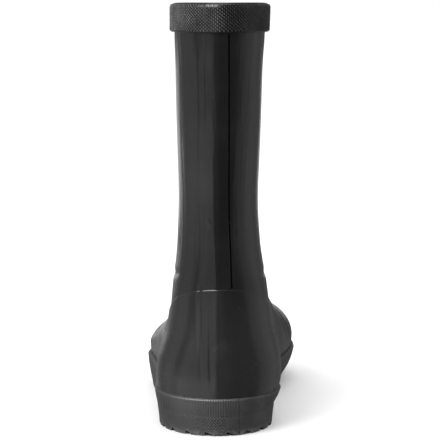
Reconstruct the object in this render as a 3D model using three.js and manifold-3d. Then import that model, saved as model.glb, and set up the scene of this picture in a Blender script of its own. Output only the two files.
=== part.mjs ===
// Rubber boot for the left foot, mid-calf, standing on its sole.
// Millimetres. Heel to toe runs along +Y, the inner side of the foot is +X, up is +Z.
// The origin is the middle of the boot's box, on the floor.
import * as THREE from "three";
import { mergeVertices } from "three/addons/utils/BufferGeometryUtils.js";
import Module from "manifold-3d";

const wasm = await Module();
wasm.setup();

// Main sizes of the boot
const bootHeight = 258.4;
const soleLength = 266;
const ballWidth = 98;
const heelWidth = 75.6;
const ankleWidth = 49;
const ankleLength = 114;
const collarWidth = 55.8;
const collarLength = 135;

// Heights of the lines that a last is drawn from
const soleThickness = 12.4;
const widestHeight = 30;
const toeHeight = 54;
const instepHeight = 77;
const ankleHeight = 137;

// How far the back of the boot stands in from the sole, and the shaft from the heel's middle
const heelInset = 1.8;
const ankleHollow = 10.7;
const shaftLean = 1.2;

// Walls, layers and gaps
const wall = 2.2;
const gap = 0.3;
const foxingThickness = 1.6;
const foxingHeight = 10.4;
const foxingShoulder = 0.9;
const foxingBevel = 0.55;
const toeBumper = 3;
const bandHeight = 18;
const bandThickness = 2.1;
const bandRounding = 3.2;
const bandLip = 1;
const bandFoot = 0.8;
const stayWidth = 9.6;
const stayShift = 2.6;
const stayThickness = 0.8;
const counterThickness = 0.7;
const counterHeight = 87.4;
const counterReach = 92;
const counterLowBend = { reach: 0.86, rise: 0.4 };
const counterHighBend = { reach: 0.55, rise: 0.86 };
const insoleThickness = 3.5;

// Outsole: heel, arch, toe spring and tread
const lugHeight = 4.2;
const archRise = 5.5;
const archEnd = 122;
const archSlope = 26;
const heelReach = 74;
const breastSlope = 4;
const toeSpring = 6;
const toeSpringStart = 196;
const treadInset = 0.6;
const edgeSwell = 0.6;
const treadLimit = 1;
const innerUndercut = 8;
const outerUndercut = 1.5;
const notchWidth = 3.2;
const notchDepth = 9;
const notchHeight = 2.4;
const notchPitch = 13;
const notchSlant = 0.45;
const grooveWidth = 4;
const firstGroove = 22;
const groovePitch = 15;
const grooveDrop = 8;
const grooveMargin = 12;

// Round ends of the plan: their lengths, and how square they are, from the ellipse up
const ellipse = 2;
const heelCap = 47;
const heelPoint = 2.05;
const shaftPoint = 1.8;
const shaftBackCap = 46;
const shaftFrontCap = 56;
const instepFrontCap = 90;
const innerToeCap = 62;
const innerToePoint = 2.2;
const outerToeCap = 96;
const outerToePoint = 2;
const innerTuck = 0.28;
const outerTuck = 0.01;

// How full the foot's flanks are, 2 for an ellipse, less for a flatter slope
const innerFlank = 1.85;
const outerFlank = 1.55;

// Where the heel's form passes into the foot's, and the foot's into the shaft's
const footStart = 105;
const footFull = 205;
const shaftStart = 60;
const shaftFull = 115;

// Fineness of the faceted forms
const ringSteps = 52;
const rowSteps = 26;
const bisections = 30;
const turnStep = 0.006;
const heightStep = 0.8;
const profileSteps = 200;

const clamp = (value, low, high) => Math.min(Math.max(value, low), high);
const mix = (from, to, share) => from + (to - from) * share;
const ease = (share) => {
  const held = clamp(share, 0, 1);
  return held * held * (3 - 2 * held);
};

// Smooth curve through points that never swings past them.
function smoothCurve(keys, values) {
  const last = keys.length - 1;
  const chord = (index) => (values[index + 1] - values[index]) / (keys[index + 1] - keys[index]);
  const slopes = keys.map((key, index) => {
    const before = chord(Math.max(index - 1, 0));
    const after = chord(Math.min(index, last - 1));
    return before * after > 0 ? (2 * before * after) / (before + after) : 0;
  });
  return (at) => {
    const place = clamp(at, keys[0], keys[last]);
    let index = 0;
    while (index < last - 1 && place > keys[index + 1]) {
      index += 1;
    }
    const span = keys[index + 1] - keys[index];
    const t = (place - keys[index]) / span;
    const start = values[index] * (1 + 2 * t) * (1 - t) * (1 - t);
    const end = values[index + 1] * t * t * (3 - 2 * t);
    const leaving = slopes[index] * span * t * (1 - t) * (1 - t);
    const arriving = slopes[index + 1] * span * t * t * (t - 1);
    return start + end + leaving + arriving;
  };
}

// A table with named columns: each column becomes a curve over the first one.
function table(columns, rows) {
  const keys = rows.map((row) => row[0]);
  const curves = columns.slice(1).map((name, index) => {
    const values = rows.map((row) => row[index + 1]);
    return [name, smoothCurve(keys, values)];
  });
  return Object.fromEntries(curves);
}

// Back of the boot. Height is a share of the ankle's up to 1, then 1 plus a share of the shaft.
// Hollow is a share of the ankle's hollow; heel and collar are shares of what the heel and the
// collar are wider than the ankle; lean is a share of the shaft's lean to the inner side.
const leg = table(
  ["height", "hollow", "heel", "collar", "lean"],
  [
    [0.095, 0.02, 0.81, 0, 0],
    [0.16, 0, 0.91, 0, 0],
    [0.226, 0, 0.95, 0, 0.15],
    [0.292, 0.06, 0.91, 0, 0.4],
    [0.358, 0.17, 0.755, 0, 0.75],
    [0.431, 0.34, 0.56, 0, 0.95],
    [0.511, 0.54, 0.44, 0, 1],
    [0.613, 0.77, 0.335, 0, 0.8],
    [0.715, 0.93, 0.18, 0, 0.45],
    [0.825, 1, 0.06, 0, 0.15],
    [1, 0.97, 0, 0, 0],
    [1.23, 0.81, 0, 0.24, 0],
    [1.43, 0.67, 0, 0.45, 0.1],
    [1.68, 0.49, 0, 0.66, 0.4],
    [1.85, 0.35, 0, 0.9, 0.65],
    [2, 0.25, 0, 1, 0.9],
  ],
);

// Front of the boot from the side. Stage counts the named heights: 0 sole, 1 widest line, 2 toe,
// 3 instep, 4 ankle, 5 collar. Foot is a share of the sole's length; shin and collar are shares
// of the way from the instep to the front of the ankle, and from there to that of the collar.
const front = table(
  ["stage", "foot", "shin", "collar"],
  [
    [0, 0.97, 0, 0],
    [1, 0.985, 0, 0],
    [1.29, 0.984, 0, 0],
    [1.57, 0.962, 0, 0],
    [1.81, 0.921, 0, 0],
    [2, 0.835, 0, 0],
    [2.15, 0.742, 0, 0],
    [2.35, 0.662, 0, 0],
    [2.62, 0.61, 0, 0],
    [3, 0.575, 0, 0],
    [3.22, 0.575, 0.46, 0],
    [3.47, 0.575, 0.79, 0],
    [3.75, 0.575, 0.97, 0],
    [4, 0.575, 1, 0],
    [4.27, 0.575, 1, 0.19],
    [4.52, 0.575, 1, 0.42],
    [4.84, 0.575, 1, 0.8],
    [5, 0.575, 1, 1],
  ],
);
const stageHeights = [soleThickness, widestHeight, toeHeight, instepHeight, ankleHeight, bootHeight];

// Plan of the foot at its widest height. Along is a share of the sole's length, the others are
// shares of the ball's width: the reach to the inner and the outer side, and the ridge's place.
const plan = table(
  ["along", "inner", "outer", "spine"],
  [
    [0.184, 0.386, 0.386, 0],
    [0.3, 0.366, 0.382, 0.015],
    [0.395, 0.354, 0.39, 0.04],
    [0.49, 0.385, 0.415, 0.077],
    [0.583, 0.443, 0.445, 0.112],
    [0.658, 0.483, 0.466, 0.138],
    [0.733, 0.51, 0.466, 0.153],
    [0.8, 0.515, 0.46, 0.148],
    [0.985, 0.515, 0.46, 0.122],
  ],
);

// Side of the outsole from the floor up: a share of its thickness, how far it stands out as a
// share of the foxing's face, and shares of the tread's inset and of the swell of the edge.
const soleEdge = table(
  ["rise", "face", "inset", "swell"],
  [
    [0, 0.7, 1, 0],
    [0.34, 0.75, 0.6, 0],
    [0.62, 0.85, 0.3, 0.4],
    [0.93, 1, 0.05, 1],
    [1, 1, 0, 0],
  ],
);
const edgeRises = [0, 0.34, 0.62, 0.86, 0.95, 1];

// Middle of the back stay from behind: a share of the way up it, and of its shift at the foot.
const stayLine = table(
  ["rise", "shift"],
  [
    [0, 1],
    [0.14, 0.74],
    [0.27, 0.47],
    [0.5, 0.38],
    [1, 0.36],
  ],
);
const stayRises = [0, 0.07, 0.14, 0.27, 0.5, 1];

function legKey(z) {
  const shaft = (z - ankleHeight) / (bootHeight - ankleHeight);
  return z < ankleHeight ? z / ankleHeight : 1 + shaft;
}

function stageOf(z) {
  const held = clamp(z, soleThickness, bootHeight);
  let index = 0;
  while (index < stageHeights.length - 2 && held > stageHeights[index + 1]) {
    index += 1;
  }
  return index + (held - stageHeights[index]) / (stageHeights[index + 1] - stageHeights[index]);
}

const backAt = (z) => heelInset + ankleHollow * leg.hollow(legKey(z));
const ankleFront = backAt(ankleHeight) + ankleLength;
const collarFront = backAt(bootHeight) + collarLength;

function frontAt(z) {
  const stage = stageOf(z);
  const foot = soleLength * front.foot(stage);
  const shin = mix(foot, ankleFront, front.shin(stage));
  return mix(shin, collarFront, front.collar(stage));
}

function legHalf(z) {
  const key = legKey(z);
  const heelMore = (heelWidth - ankleWidth) * leg.heel(key);
  const collarMore = (collarWidth - ankleWidth) * leg.collar(key);
  return (ankleWidth + heelMore + collarMore) / 2;
}

// Height of the foot's ridge above a place along the foot, found on the front's curve.
function ridgeAt(y) {
  let low = widestHeight;
  let high = ankleHeight;
  for (let round = 0; round < bisections; round += 1) {
    const middle = (low + high) / 2;
    if (frontAt(middle) > y) {
      low = middle;
    } else {
      high = middle;
    }
  }
  return low;
}

// Round end of a plan: 0 at its tip, 1 from its length on.
function cap(distance, length, point) {
  const share = 1 - clamp(distance / length, 0, 1);
  return (1 - share ** point) ** (1 / point);
}

// The foot's own form: its ridge's x, and its reach from there to one side.
function footSide(y, z, inner) {
  const along = y / soleLength;
  const spine = ballWidth * plan.spine(along);
  const planReach = ballWidth * (inner ? plan.inner(along) - plan.spine(along)
    : plan.outer(along) + plan.spine(along));
  const tip = frontAt(Math.min(z, widestHeight));
  const toeLength = inner ? innerToeCap : outerToeCap;
  const toeRound = cap(tip - y, toeLength, inner ? innerToePoint : outerToePoint);
  const drop = clamp((widestHeight - z) / widestHeight, 0, 1);
  const under = ease((y - heelCap) / (ankleFront - heelCap));
  const climb = under * clamp((z - widestHeight) / (ridgeAt(y) - widestHeight), 0, 1);
  const flank = inner ? innerFlank : outerFlank;
  const tuck = inner ? innerTuck : outerTuck;
  const dome = z > widestHeight ? (1 - climb ** flank) ** (1 / flank) : 1 - tuck * drop * drop;
  const heelShape = legHalf(z) / legHalf(widestHeight);
  const footShare = ease((y - footStart) / (footFull - footStart));
  return { spine, reach: planReach * toeRound * dome * mix(heelShape, 1, footShare) };
}

// The shaft's reach from its middle to either side.
function shaftReach(y, z) {
  const shaftShare = ease((z - shaftStart) / (ankleHeight - shaftStart));
  const length = mix(instepFrontCap, shaftFrontCap, shaftShare);
  return legHalf(z) * cap(frontAt(z) - y, length, ellipse);
}

// A point of the boot's outer form. A turn starts at the back, passes the inner side and comes
// back along the outer one. Along is its share of the way from the back to the front.
const alongAt = (turn) => (1 - Math.cos(2 * Math.PI * turn)) / 2;
function formPoint(turn, z) {
  const inner = Math.sin(2 * Math.PI * turn) >= 0;
  const y = mix(backAt(z), frontAt(z), alongAt(turn));
  const foot = footSide(y, z, inner);
  const shaftShare = ease((z - shaftStart) / (shaftFull - shaftStart));
  const heelShare = ease((z - widestHeight) / (ankleHeight - widestHeight));
  const backLength = mix(heelCap, shaftBackCap, heelShare);
  const heelRound = cap(y - backAt(z), backLength, mix(heelPoint, shaftPoint, heelShare));
  const reach = mix(foot.reach, shaftReach(y, z), shaftShare) * heelRound;
  const spine = mix(foot.spine, 0, shaftShare) + shaftLean * leg.lean(legKey(z));
  return new THREE.Vector3(spine + (inner ? reach : -reach), y, z);
}

// The direction straight out of the form at a point.
function formNormal(turn, z) {
  const around = formPoint(turn + turnStep, z).sub(formPoint(turn - turnStep, z));
  const upward = formPoint(turn, z + heightStep).sub(formPoint(turn, z - heightStep));
  return around.cross(upward).normalize();
}

const offsetPoint = (turn, z, offset) =>
  formPoint(turn, z).addScaledVector(formNormal(turn, z), offset);

// The sole along the foot: the lift of its toe, its top and its underside.
const springAt = (y) => {
  const share = clamp((y - toeSpringStart) / (soleLength - toeSpringStart), 0, 1);
  return toeSpring * share * share;
};
const soleTop = (y) => soleThickness + springAt(y);
const archAt = (y) => archRise * ease((y - heelReach) / breastSlope) * ease((archEnd - y) / archSlope);
const soleBottom = (y) => springAt(y) + archAt(y);
const footPlace = (turn) => mix(backAt(soleThickness), frontAt(soleThickness), alongAt(turn));
const featherHeight = (turn) => soleTop(footPlace(turn)) + gap;

// The sole's outline: the form's lowest line, moved out level by a distance.
function outlinePoint(turn, spread) {
  const z = featherHeight(turn);
  const level = formNormal(turn, z).setZ(0).normalize();
  return formPoint(turn, z).addScaledVector(level, spread);
}

const turns = Array.from({ length: ringSteps }, (_, index) => index / ringSteps);
const ring = (pointAt) => turns.map(pointAt);

// Joins rings into a skin that faces out where the rings follow each other upwards. In a closed
// skin the second half of the rings runs down the inner face, with the diagonals of the outer.
function skin(rings, closed) {
  const count = rings[0].length;
  const triangles = [];
  const bands = closed ? rings.length : rings.length - 1;
  for (let row = 0; row < bands; row += 1) {
    const lower = row * count;
    const upper = ((row + 1) % rings.length) * count;
    const falls = closed && row >= rings.length / 2;
    for (let index = 0; index < count; index += 1) {
      const next = (index + 1) % count;
      const quad = [lower + index, lower + next, upper + next, upper + index];
      const [a, b, c, d] = falls ? [quad[1], quad[2], quad[3], quad[0]] : quad;
      triangles.push(a, b, c, a, c, d);
    }
  }
  return triangles;
}

// Closes a ring by strips between its inner and outer side, which share their places along.
function lid(start, count, facesUp) {
  const triangles = [];
  for (let index = 0; index < count / 2; index += 1) {
    const [near, far] = [start + index, start + index + 1];
    const [nearOut, farOut] = [start + ((count - index) % count), start + count - index - 1];
    const quad = [near, far, farOut, near, farOut, nearOut];
    triangles.push(...(facesUp ? quad : quad.reverse()));
  }
  return triangles;
}

function geometryOf(points, triangles) {
  const geometry = new THREE.BufferGeometry();
  const flat = points.flatMap((point) => [point.x, point.y, point.z]);
  geometry.setAttribute("position", new THREE.Float32BufferAttribute(flat, 3));
  geometry.setIndex(triangles.filter((_, index) => {
    const first = index - (index % 3);
    const corners = new Set(triangles.slice(first, first + 3));
    return corners.size === 3;
  }));
  return geometry;
}

// A hollow body whose section is a closed loop of rings, counted up its outer face.
const sweep = (rings) => geometryOf(rings.flat(), skin(rings, true));

// A full body from rings stacked upwards, closed below and above.
function stack(rings) {
  const count = rings[0].length;
  const top = (rings.length - 1) * count;
  const triangles = [...skin(rings, false), ...lid(0, count, false), ...lid(top, count, true)];
  return geometryOf(rings.flat(), triangles);
}

function solidOf(geometry) {
  const bare = geometry.clone();
  bare.deleteAttribute("normal");
  bare.deleteAttribute("uv");
  const merged = mergeVertices(bare);
  const vertProperties = new Float32Array(merged.attributes.position.array);
  const triVerts = new Uint32Array(merged.index.array);
  return new wasm.Manifold(new wasm.Mesh({ numProp: 3, vertProperties, triVerts }));
}

function geometryFrom(solid) {
  const mesh = solid.getMesh();
  const geometry = new THREE.BufferGeometry();
  geometry.setAttribute("position", new THREE.BufferAttribute(mesh.vertProperties, 3));
  geometry.setIndex(new THREE.BufferAttribute(mesh.triVerts, 1));
  return geometry;
}

// Heights at even steps along a side profile, as shares of the way from the sole to the collar.
function evenShares(profileAt, lowest, count) {
  const heights = Array.from({ length: profileSteps + 1 }, (_, index) =>
    mix(lowest, bootHeight, index / profileSteps));
  const lengths = [0];
  for (let index = 1; index <= profileSteps; index += 1) {
    const across = profileAt(heights[index]) - profileAt(heights[index - 1]);
    lengths.push(lengths[index - 1] + Math.hypot(across, heights[index] - heights[index - 1]));
  }
  const shareAt = smoothCurve(lengths, heights.map((z) => (z - lowest) / (bootHeight - lowest)));
  return Array.from({ length: count + 1 }, (_, row) => shareAt((lengths[profileSteps] * row) / count));
}

const backShares = evenShares(backAt, soleThickness, rowSteps);
const frontShares = evenShares(frontAt, soleTop(soleLength), rowSteps);

// The grid that the upper and its layers share, so that their facets lie parallel.
const rimHeight = bootHeight - bandThickness - gap;
const gridRows = backShares.map((_, row) => row);
const gridHeight = (turn, row) => {
  const share = mix(backShares[row], frontShares[row], alongAt(turn));
  return mix(featherHeight(turn), rimHeight, share);
};
const gridFace = (offset) => gridRows.map((row) =>
  ring((turn) => offsetPoint(turn, gridHeight(turn, row), offset)));

// Upper: one wall from the sole to the collar, open at both ends.
function upper() {
  const outer = gridFace(0);
  const inner = gridFace(-wall);
  inner[0].forEach((point, index) => point.setZ(featherHeight(turns[index])));
  inner[rowSteps].forEach((point) => point.setZ(rimHeight));
  return sweep([...outer, ...inner.reverse()]);
}

// A layer over the whole upper, from which the pieces on it are cut.
const layer = (thickness) =>
  solidOf(sweep([...gridFace(gap + thickness), ...gridFace(gap).reverse()]));

// A block whose outline is drawn from the side, along and up, as wide as the boot.
function sideBlock(outline, width) {
  const block = new THREE.ExtrudeGeometry(outline, { depth: width, bevelEnabled: false });
  block.translate(0, 0, -width / 2);
  const alongAxis = new THREE.Vector3(0, 1, 0);
  const upAxis = new THREE.Vector3(0, 0, 1);
  const acrossAxis = new THREE.Vector3(1, 0, 0);
  block.applyMatrix4(new THREE.Matrix4().makeBasis(alongAxis, upAxis, acrossAxis));
  return solidOf(block);
}

// Collar band: folded over the rim, its outer and upper edges rounded.
function collarBand() {
  const outer = gap + bandThickness;
  const low = bootHeight - bandHeight;
  const rim = bootHeight - bandThickness;
  const shoulder = bandRounding * (1 - Math.SQRT1_2);
  const section = [
    [gap, low],
    [outer - bandFoot, low],
    [outer, low + bandFoot],
    [outer, bootHeight - bandRounding],
    [outer - shoulder, bootHeight - shoulder],
    [outer - bandRounding, bootHeight],
    [bandLip - wall, bootHeight],
    [-wall, bootHeight - bandLip],
    [-wall, rim],
    [gap, rim],
  ];
  return sweep(section.map(([offset, z]) => ring((turn) => offsetPoint(turn, z, offset).setZ(z))));
}

// Back stay: a narrow strip from the counter to the band, drawn from behind.
function backStay() {
  const low = counterHeight + gap;
  const high = bootHeight - bandHeight - gap;
  const middleLine = stayRises.map((rise) => [stayShift * stayLine.shift(rise), mix(low, high, rise)]);
  const side = (reach) => middleLine.map(([x, z]) => new THREE.Vector2(x + reach, z));
  const outline = new THREE.Shape([...side(stayWidth / 2), ...side(-stayWidth / 2).reverse()]);
  const strip = new THREE.ExtrudeGeometry(outline, { depth: soleLength / 2, bevelEnabled: false });
  strip.rotateX(Math.PI / 2);
  strip.translate(0, soleLength / 4, 0);
  return geometryFrom(layer(stayThickness).intersect(solidOf(strip)));
}

// Heel counter: its top edge falls away from the back, and runs down in front to the foxing.
function heelCounter() {
  const foot = soleThickness + foxingHeight + gap;
  const height = counterHeight - foot;
  const outline = new THREE.Shape();
  outline.moveTo(-heelCap, foot);
  outline.lineTo(counterReach, foot);
  outline.bezierCurveTo(
    counterReach * counterLowBend.reach, foot + height * counterLowBend.rise,
    counterReach * counterHighBend.reach, foot + height * counterHighBend.rise,
    backAt(counterHeight), counterHeight,
  );
  outline.lineTo(-heelCap, counterHeight);
  return geometryFrom(layer(counterThickness).intersect(sideBlock(outline, 2 * heelWidth)));
}

// Foxing: the strip around the foot, higher over the toe.
function foxing() {
  const topAt = (turn) => {
    const share = springAt(footPlace(turn)) / toeSpring;
    return foxingHeight + toeBumper * share;
  };
  const faceAt = (offset, share) => ring((turn) => {
    const z = featherHeight(turn) + topAt(turn) * share;
    return offsetPoint(turn, z, offset).setZ(z);
  });
  const outer = gap + foxingThickness;
  const shares = [0, foxingShoulder / 2, foxingShoulder];
  return sweep([
    ...shares.map((share) => faceAt(outer, share)),
    faceAt(outer - foxingBevel, 1),
    faceAt(gap, 1),
    ...shares.reverse().map((share) => faceAt(gap, share)),
  ]);
}

// Places for the notches, evenly spaced around the outline.
function notchTurns() {
  const steps = Array.from({ length: profileSteps + 1 }, (_, index) => index / profileSteps);
  const points = steps.map((turn) => outlinePoint(turn, 0));
  const lengths = [0];
  for (let index = 1; index <= profileSteps; index += 1) {
    lengths.push(lengths[index - 1] + points[index].distanceTo(points[index - 1]));
  }
  const turnAt = smoothCurve(lengths, steps);
  const count = Math.round(lengths[profileSteps] / notchPitch);
  return Array.from({ length: count }, (_, index) =>
    turnAt((lengths[profileSteps] * (index + 0.5)) / count));
}

// A notch in the edge of the tread, slanted to the outline.
function notchAt(turn) {
  const middle = outlinePoint(turn, 0);
  const level = formNormal(turn, featherHeight(turn)).setZ(0);
  const block = new THREE.BoxGeometry(2 * notchDepth, notchWidth, 2 * notchHeight);
  block.rotateZ(Math.atan2(level.y, level.x) + notchSlant);
  block.translate(middle.x, middle.y, soleBottom(middle.y));
  return solidOf(block);
}

// A groove across the tread, drawn as a wide V with its point towards the heel.
function grooveAt(y) {
  const turn = Math.acos(1 - 2 * clamp(y / soleLength, 0, 1)) / (2 * Math.PI);
  const right = outlinePoint(turn, -grooveMargin).x;
  const left = outlinePoint(1 - turn, -grooveMargin).x;
  const middle = (left + right) / 2;
  const outline = new THREE.Shape();
  outline.moveTo(middle, y);
  outline.lineTo(right, y + grooveDrop);
  outline.lineTo(right, y + grooveDrop + grooveWidth);
  outline.lineTo(middle, y + grooveWidth);
  outline.lineTo(left, y + grooveDrop + grooveWidth);
  outline.lineTo(left, y + grooveDrop);
  const block = new THREE.ExtrudeGeometry(outline, { depth: 2 * lugHeight, bevelEnabled: false });
  block.translate(0, 0, soleBottom(y + grooveDrop / 2) - lugHeight);
  return solidOf(block);
}

const rowsBetween = (start, end, pitch) =>
  Array.from({ length: Math.max(Math.floor((end - start) / pitch) + 1, 0) }, (_, index) =>
    start + index * pitch);

// Outsole: one block of heel, arch and forefoot, with notches and grooves cut below.
function outsole() {
  const face = gap + foxingThickness;
  const levelAt = (rise) => ring((turn) => {
    const along = footPlace(turn) / soleLength;
    const ballShare = clamp((plan.inner(along) - plan.inner(0)) / (plan.inner(1) - plan.inner(0)), 0, 1);
    const inset = treadInset + ballShare * (turn < 0.5 ? innerUndercut : outerUndercut);
    const spread = face * soleEdge.face(rise) + edgeSwell * soleEdge.swell(rise)
      - inset * soleEdge.inset(rise);
    const point = outlinePoint(turn, spread);
    const place = footPlace(turn);
    return point.setZ(mix(soleBottom(place), soleTop(place), rise));
  });
  const body = solidOf(stack(edgeRises.map(levelAt)));
  const isTread = (turn) => archAt(footPlace(turn)) < treadLimit;
  const notches = notchTurns().filter(isTread).map(notchAt);
  const heelRows = rowsBetween(firstGroove, heelReach - grooveMargin, groovePitch);
  const footRows = rowsBetween(archEnd, soleLength - 2 * grooveMargin - grooveDrop, groovePitch);
  const grooves = [...heelRows, ...footRows].map(grooveAt);
  return geometryFrom(wasm.Manifold.difference([body, ...notches, ...grooves]));
}

// Insole: a loose sheet on the outsole, inside the wall.
function insole() {
  const spread = -wall - 2 * gap;
  const levelAt = (height) => ring((turn) => {
    const point = outlinePoint(turn, spread);
    return point.setZ(featherHeight(turn) + height);
  });
  return stack([levelAt(0), levelAt(insoleThickness)]);
}

const rubber = (color, roughness) =>
  new THREE.MeshStandardMaterial({ color, roughness, metalness: 0 });
const gloss = rubber("#1b1b1c", 0.4);
const band = rubber("#262627", 0.5);
const sole = rubber("#3a3a3b", 0.75);
const lining = rubber("#4a4a48", 0.95);

function part(name, geometry, material) {
  const mesh = new THREE.Mesh(geometry, material);
  mesh.name = name;
  return mesh;
}

const group = new THREE.Group();
group.add(
  part("upper", upper(), gloss),
  part("collar_band", collarBand(), band),
  part("back_stay", backStay(), gloss),
  part("heel_counter", heelCounter(), gloss),
  part("foxing", foxing(), sole),
  part("outsole", outsole(), sole),
  part("insole", insole(), lining),
);

// Sets the origin to the middle of the box, on the floor.
const box = new THREE.Box3().setFromObject(group);
const middle = box.getCenter(new THREE.Vector3());
group.position.set(-middle.x, -middle.y, -box.min.z);

export default group;
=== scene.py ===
"""Looks of a rubber boot for the left foot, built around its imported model.

Lengths of the boot's form are in millimetres, in the boot's own frame: heel to toe along +Y,
the inner side of the foot at +X, the floor at zero. Meshes are made in metres in the model's
frame. Form and pieces follow the same named sizes as the model.
"""
import logging
import math
from dataclasses import dataclass
from enum import Enum
from typing import Callable, Optional, Sequence

import bpy
import numpy as np
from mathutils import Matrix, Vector


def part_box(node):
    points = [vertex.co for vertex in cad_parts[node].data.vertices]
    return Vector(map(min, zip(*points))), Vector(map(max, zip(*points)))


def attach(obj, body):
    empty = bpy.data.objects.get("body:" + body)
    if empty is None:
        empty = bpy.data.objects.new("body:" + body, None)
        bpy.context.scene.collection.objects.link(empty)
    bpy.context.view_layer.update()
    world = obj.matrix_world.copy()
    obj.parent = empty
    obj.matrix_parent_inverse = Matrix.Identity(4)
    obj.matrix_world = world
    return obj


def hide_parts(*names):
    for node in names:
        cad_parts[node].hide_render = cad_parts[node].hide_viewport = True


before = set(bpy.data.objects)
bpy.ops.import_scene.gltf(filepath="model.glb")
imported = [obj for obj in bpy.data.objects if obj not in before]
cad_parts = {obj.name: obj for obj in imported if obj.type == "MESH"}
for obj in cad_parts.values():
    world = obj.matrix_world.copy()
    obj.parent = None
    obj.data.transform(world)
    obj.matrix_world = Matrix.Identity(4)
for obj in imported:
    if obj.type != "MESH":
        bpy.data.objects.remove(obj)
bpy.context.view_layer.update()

LOG = logging.getLogger("rubber_boot")
MM = 0.001
Array = np.ndarray
Point = tuple[float, float, float]
SUNK = 0.25  # how deep a layer's hidden face lies in the wall under it, in millimetres


def ease(share: Array) -> Array:
    """Smooth step from 0 to 1.

    Args:
        share: Share of the way; held between 0 and 1.

    Returns:
        The eased share.
    """
    held = np.clip(share, 0.0, 1.0)
    return held * held * (3.0 - 2.0 * held)


def mix(start: Array, end: Array, share: Array) -> Array:
    """Straight mix of two values."""
    return start + (end - start) * share


class Curve:
    """Smooth curve through points that never swings past them."""

    def __init__(self, keys: Sequence[float], values: Sequence[float]) -> None:
        """Work out the slope at each point.

        Args:
            keys: Places of the points, rising.
            values: Values at the points.
        """
        self.keys = np.asarray(keys, dtype=float)
        self.values = np.asarray(values, dtype=float)
        chords = np.diff(self.values) / np.diff(self.keys)
        before = np.concatenate([chords[:1], chords])
        after = np.concatenate([chords, chords[-1:]])
        same = before * after > 0
        total = np.where(same, before + after, 1.0)
        self.slopes = np.where(same, 2.0 * before * after / total, 0.0)

    def __call__(self, place: Array) -> Array:
        """Value of the curve.

        Args:
            place: Where to read the curve; held between its ends.

        Returns:
            The value at each place.
        """
        at = np.clip(place, self.keys[0], self.keys[-1])
        index = np.clip(np.searchsorted(self.keys, at) - 1, 0, len(self.keys) - 2)
        span = self.keys[index + 1] - self.keys[index]
        t = (at - self.keys[index]) / span
        start = self.values[index] * (1 + 2 * t) * (1 - t) ** 2
        end = self.values[index + 1] * t * t * (3 - 2 * t)
        leaving = self.slopes[index] * span * t * (1 - t) ** 2
        arriving = self.slopes[index + 1] * span * t * t * (t - 1)
        return start + end + leaving + arriving


def table(columns: Sequence[str], rows: Sequence[Sequence[float]]) -> dict[str, Curve]:
    """Turn a table with named columns into curves over its first column.

    Args:
        columns: Names of the columns.
        rows: One row for each section.

    Returns:
        A curve for each column after the first.
    """
    keys = [row[0] for row in rows]
    return {name: Curve(keys, [row[place + 1] for row in rows])
            for place, name in enumerate(columns[1:])}


LEG = table(
    ("height", "hollow", "heel", "collar", "lean"),
    (
        (0.095, 0.02, 0.81, 0.0, 0.0),
        (0.16, 0.0, 0.91, 0.0, 0.0),
        (0.226, 0.0, 0.95, 0.0, 0.15),
        (0.292, 0.06, 0.91, 0.0, 0.4),
        (0.358, 0.17, 0.755, 0.0, 0.75),
        (0.431, 0.34, 0.56, 0.0, 0.95),
        (0.511, 0.54, 0.44, 0.0, 1.0),
        (0.613, 0.77, 0.335, 0.0, 0.8),
        (0.715, 0.93, 0.18, 0.0, 0.45),
        (0.825, 1.0, 0.06, 0.0, 0.15),
        (1.0, 0.97, 0.0, 0.0, 0.0),
        (1.23, 0.81, 0.0, 0.24, 0.0),
        (1.43, 0.67, 0.0, 0.45, 0.1),
        (1.68, 0.49, 0.0, 0.66, 0.4),
        (1.85, 0.35, 0.0, 0.9, 0.65),
        (2.0, 0.25, 0.0, 1.0, 0.9),
    ),
)

FRONT = table(
    ("stage", "foot", "shin", "collar"),
    (
        (0.0, 0.97, 0.0, 0.0),
        (1.0, 0.985, 0.0, 0.0),
        (1.29, 0.984, 0.0, 0.0),
        (1.57, 0.962, 0.0, 0.0),
        (1.81, 0.921, 0.0, 0.0),
        (2.0, 0.835, 0.0, 0.0),
        (2.15, 0.742, 0.0, 0.0),
        (2.35, 0.662, 0.0, 0.0),
        (2.62, 0.61, 0.0, 0.0),
        (3.0, 0.575, 0.0, 0.0),
        (3.22, 0.575, 0.46, 0.0),
        (3.47, 0.575, 0.79, 0.0),
        (3.75, 0.575, 0.97, 0.0),
        (4.0, 0.575, 1.0, 0.0),
        (4.27, 0.575, 1.0, 0.19),
        (4.52, 0.575, 1.0, 0.42),
        (4.84, 0.575, 1.0, 0.8),
        (5.0, 0.575, 1.0, 1.0),
    ),
)

PLAN = table(
    ("along", "inner", "outer", "spine"),
    (
        (0.184, 0.386, 0.386, 0.0),
        (0.3, 0.366, 0.382, 0.015),
        (0.395, 0.354, 0.39, 0.04),
        (0.49, 0.385, 0.415, 0.077),
        (0.583, 0.443, 0.445, 0.112),
        (0.658, 0.483, 0.466, 0.138),
        (0.733, 0.51, 0.466, 0.153),
        (0.8, 0.515, 0.46, 0.148),
        (0.985, 0.515, 0.46, 0.122),
    ),
)

SOLE_EDGE = table(
    ("rise", "face", "inset", "swell"),
    (
        (0.0, 0.7, 1.0, 0.0),
        (0.34, 0.75, 0.6, 0.0),
        (0.62, 0.85, 0.3, 0.4),
        (0.93, 1.0, 0.05, 1.0),
        (1.0, 1.0, 0.0, 0.0),
    ),
)

STAY_LINE = table(
    ("rise", "shift"),
    (
        (0.0, 1.0),
        (0.14, 0.74),
        (0.27, 0.47),
        (0.5, 0.38),
        (1.0, 0.36),
    ),
)


class View(Enum):
    """Where a crease is drawn from, and which part of the boot it lies on."""

    SIDES = "both sides"
    BACK = "back"


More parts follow.
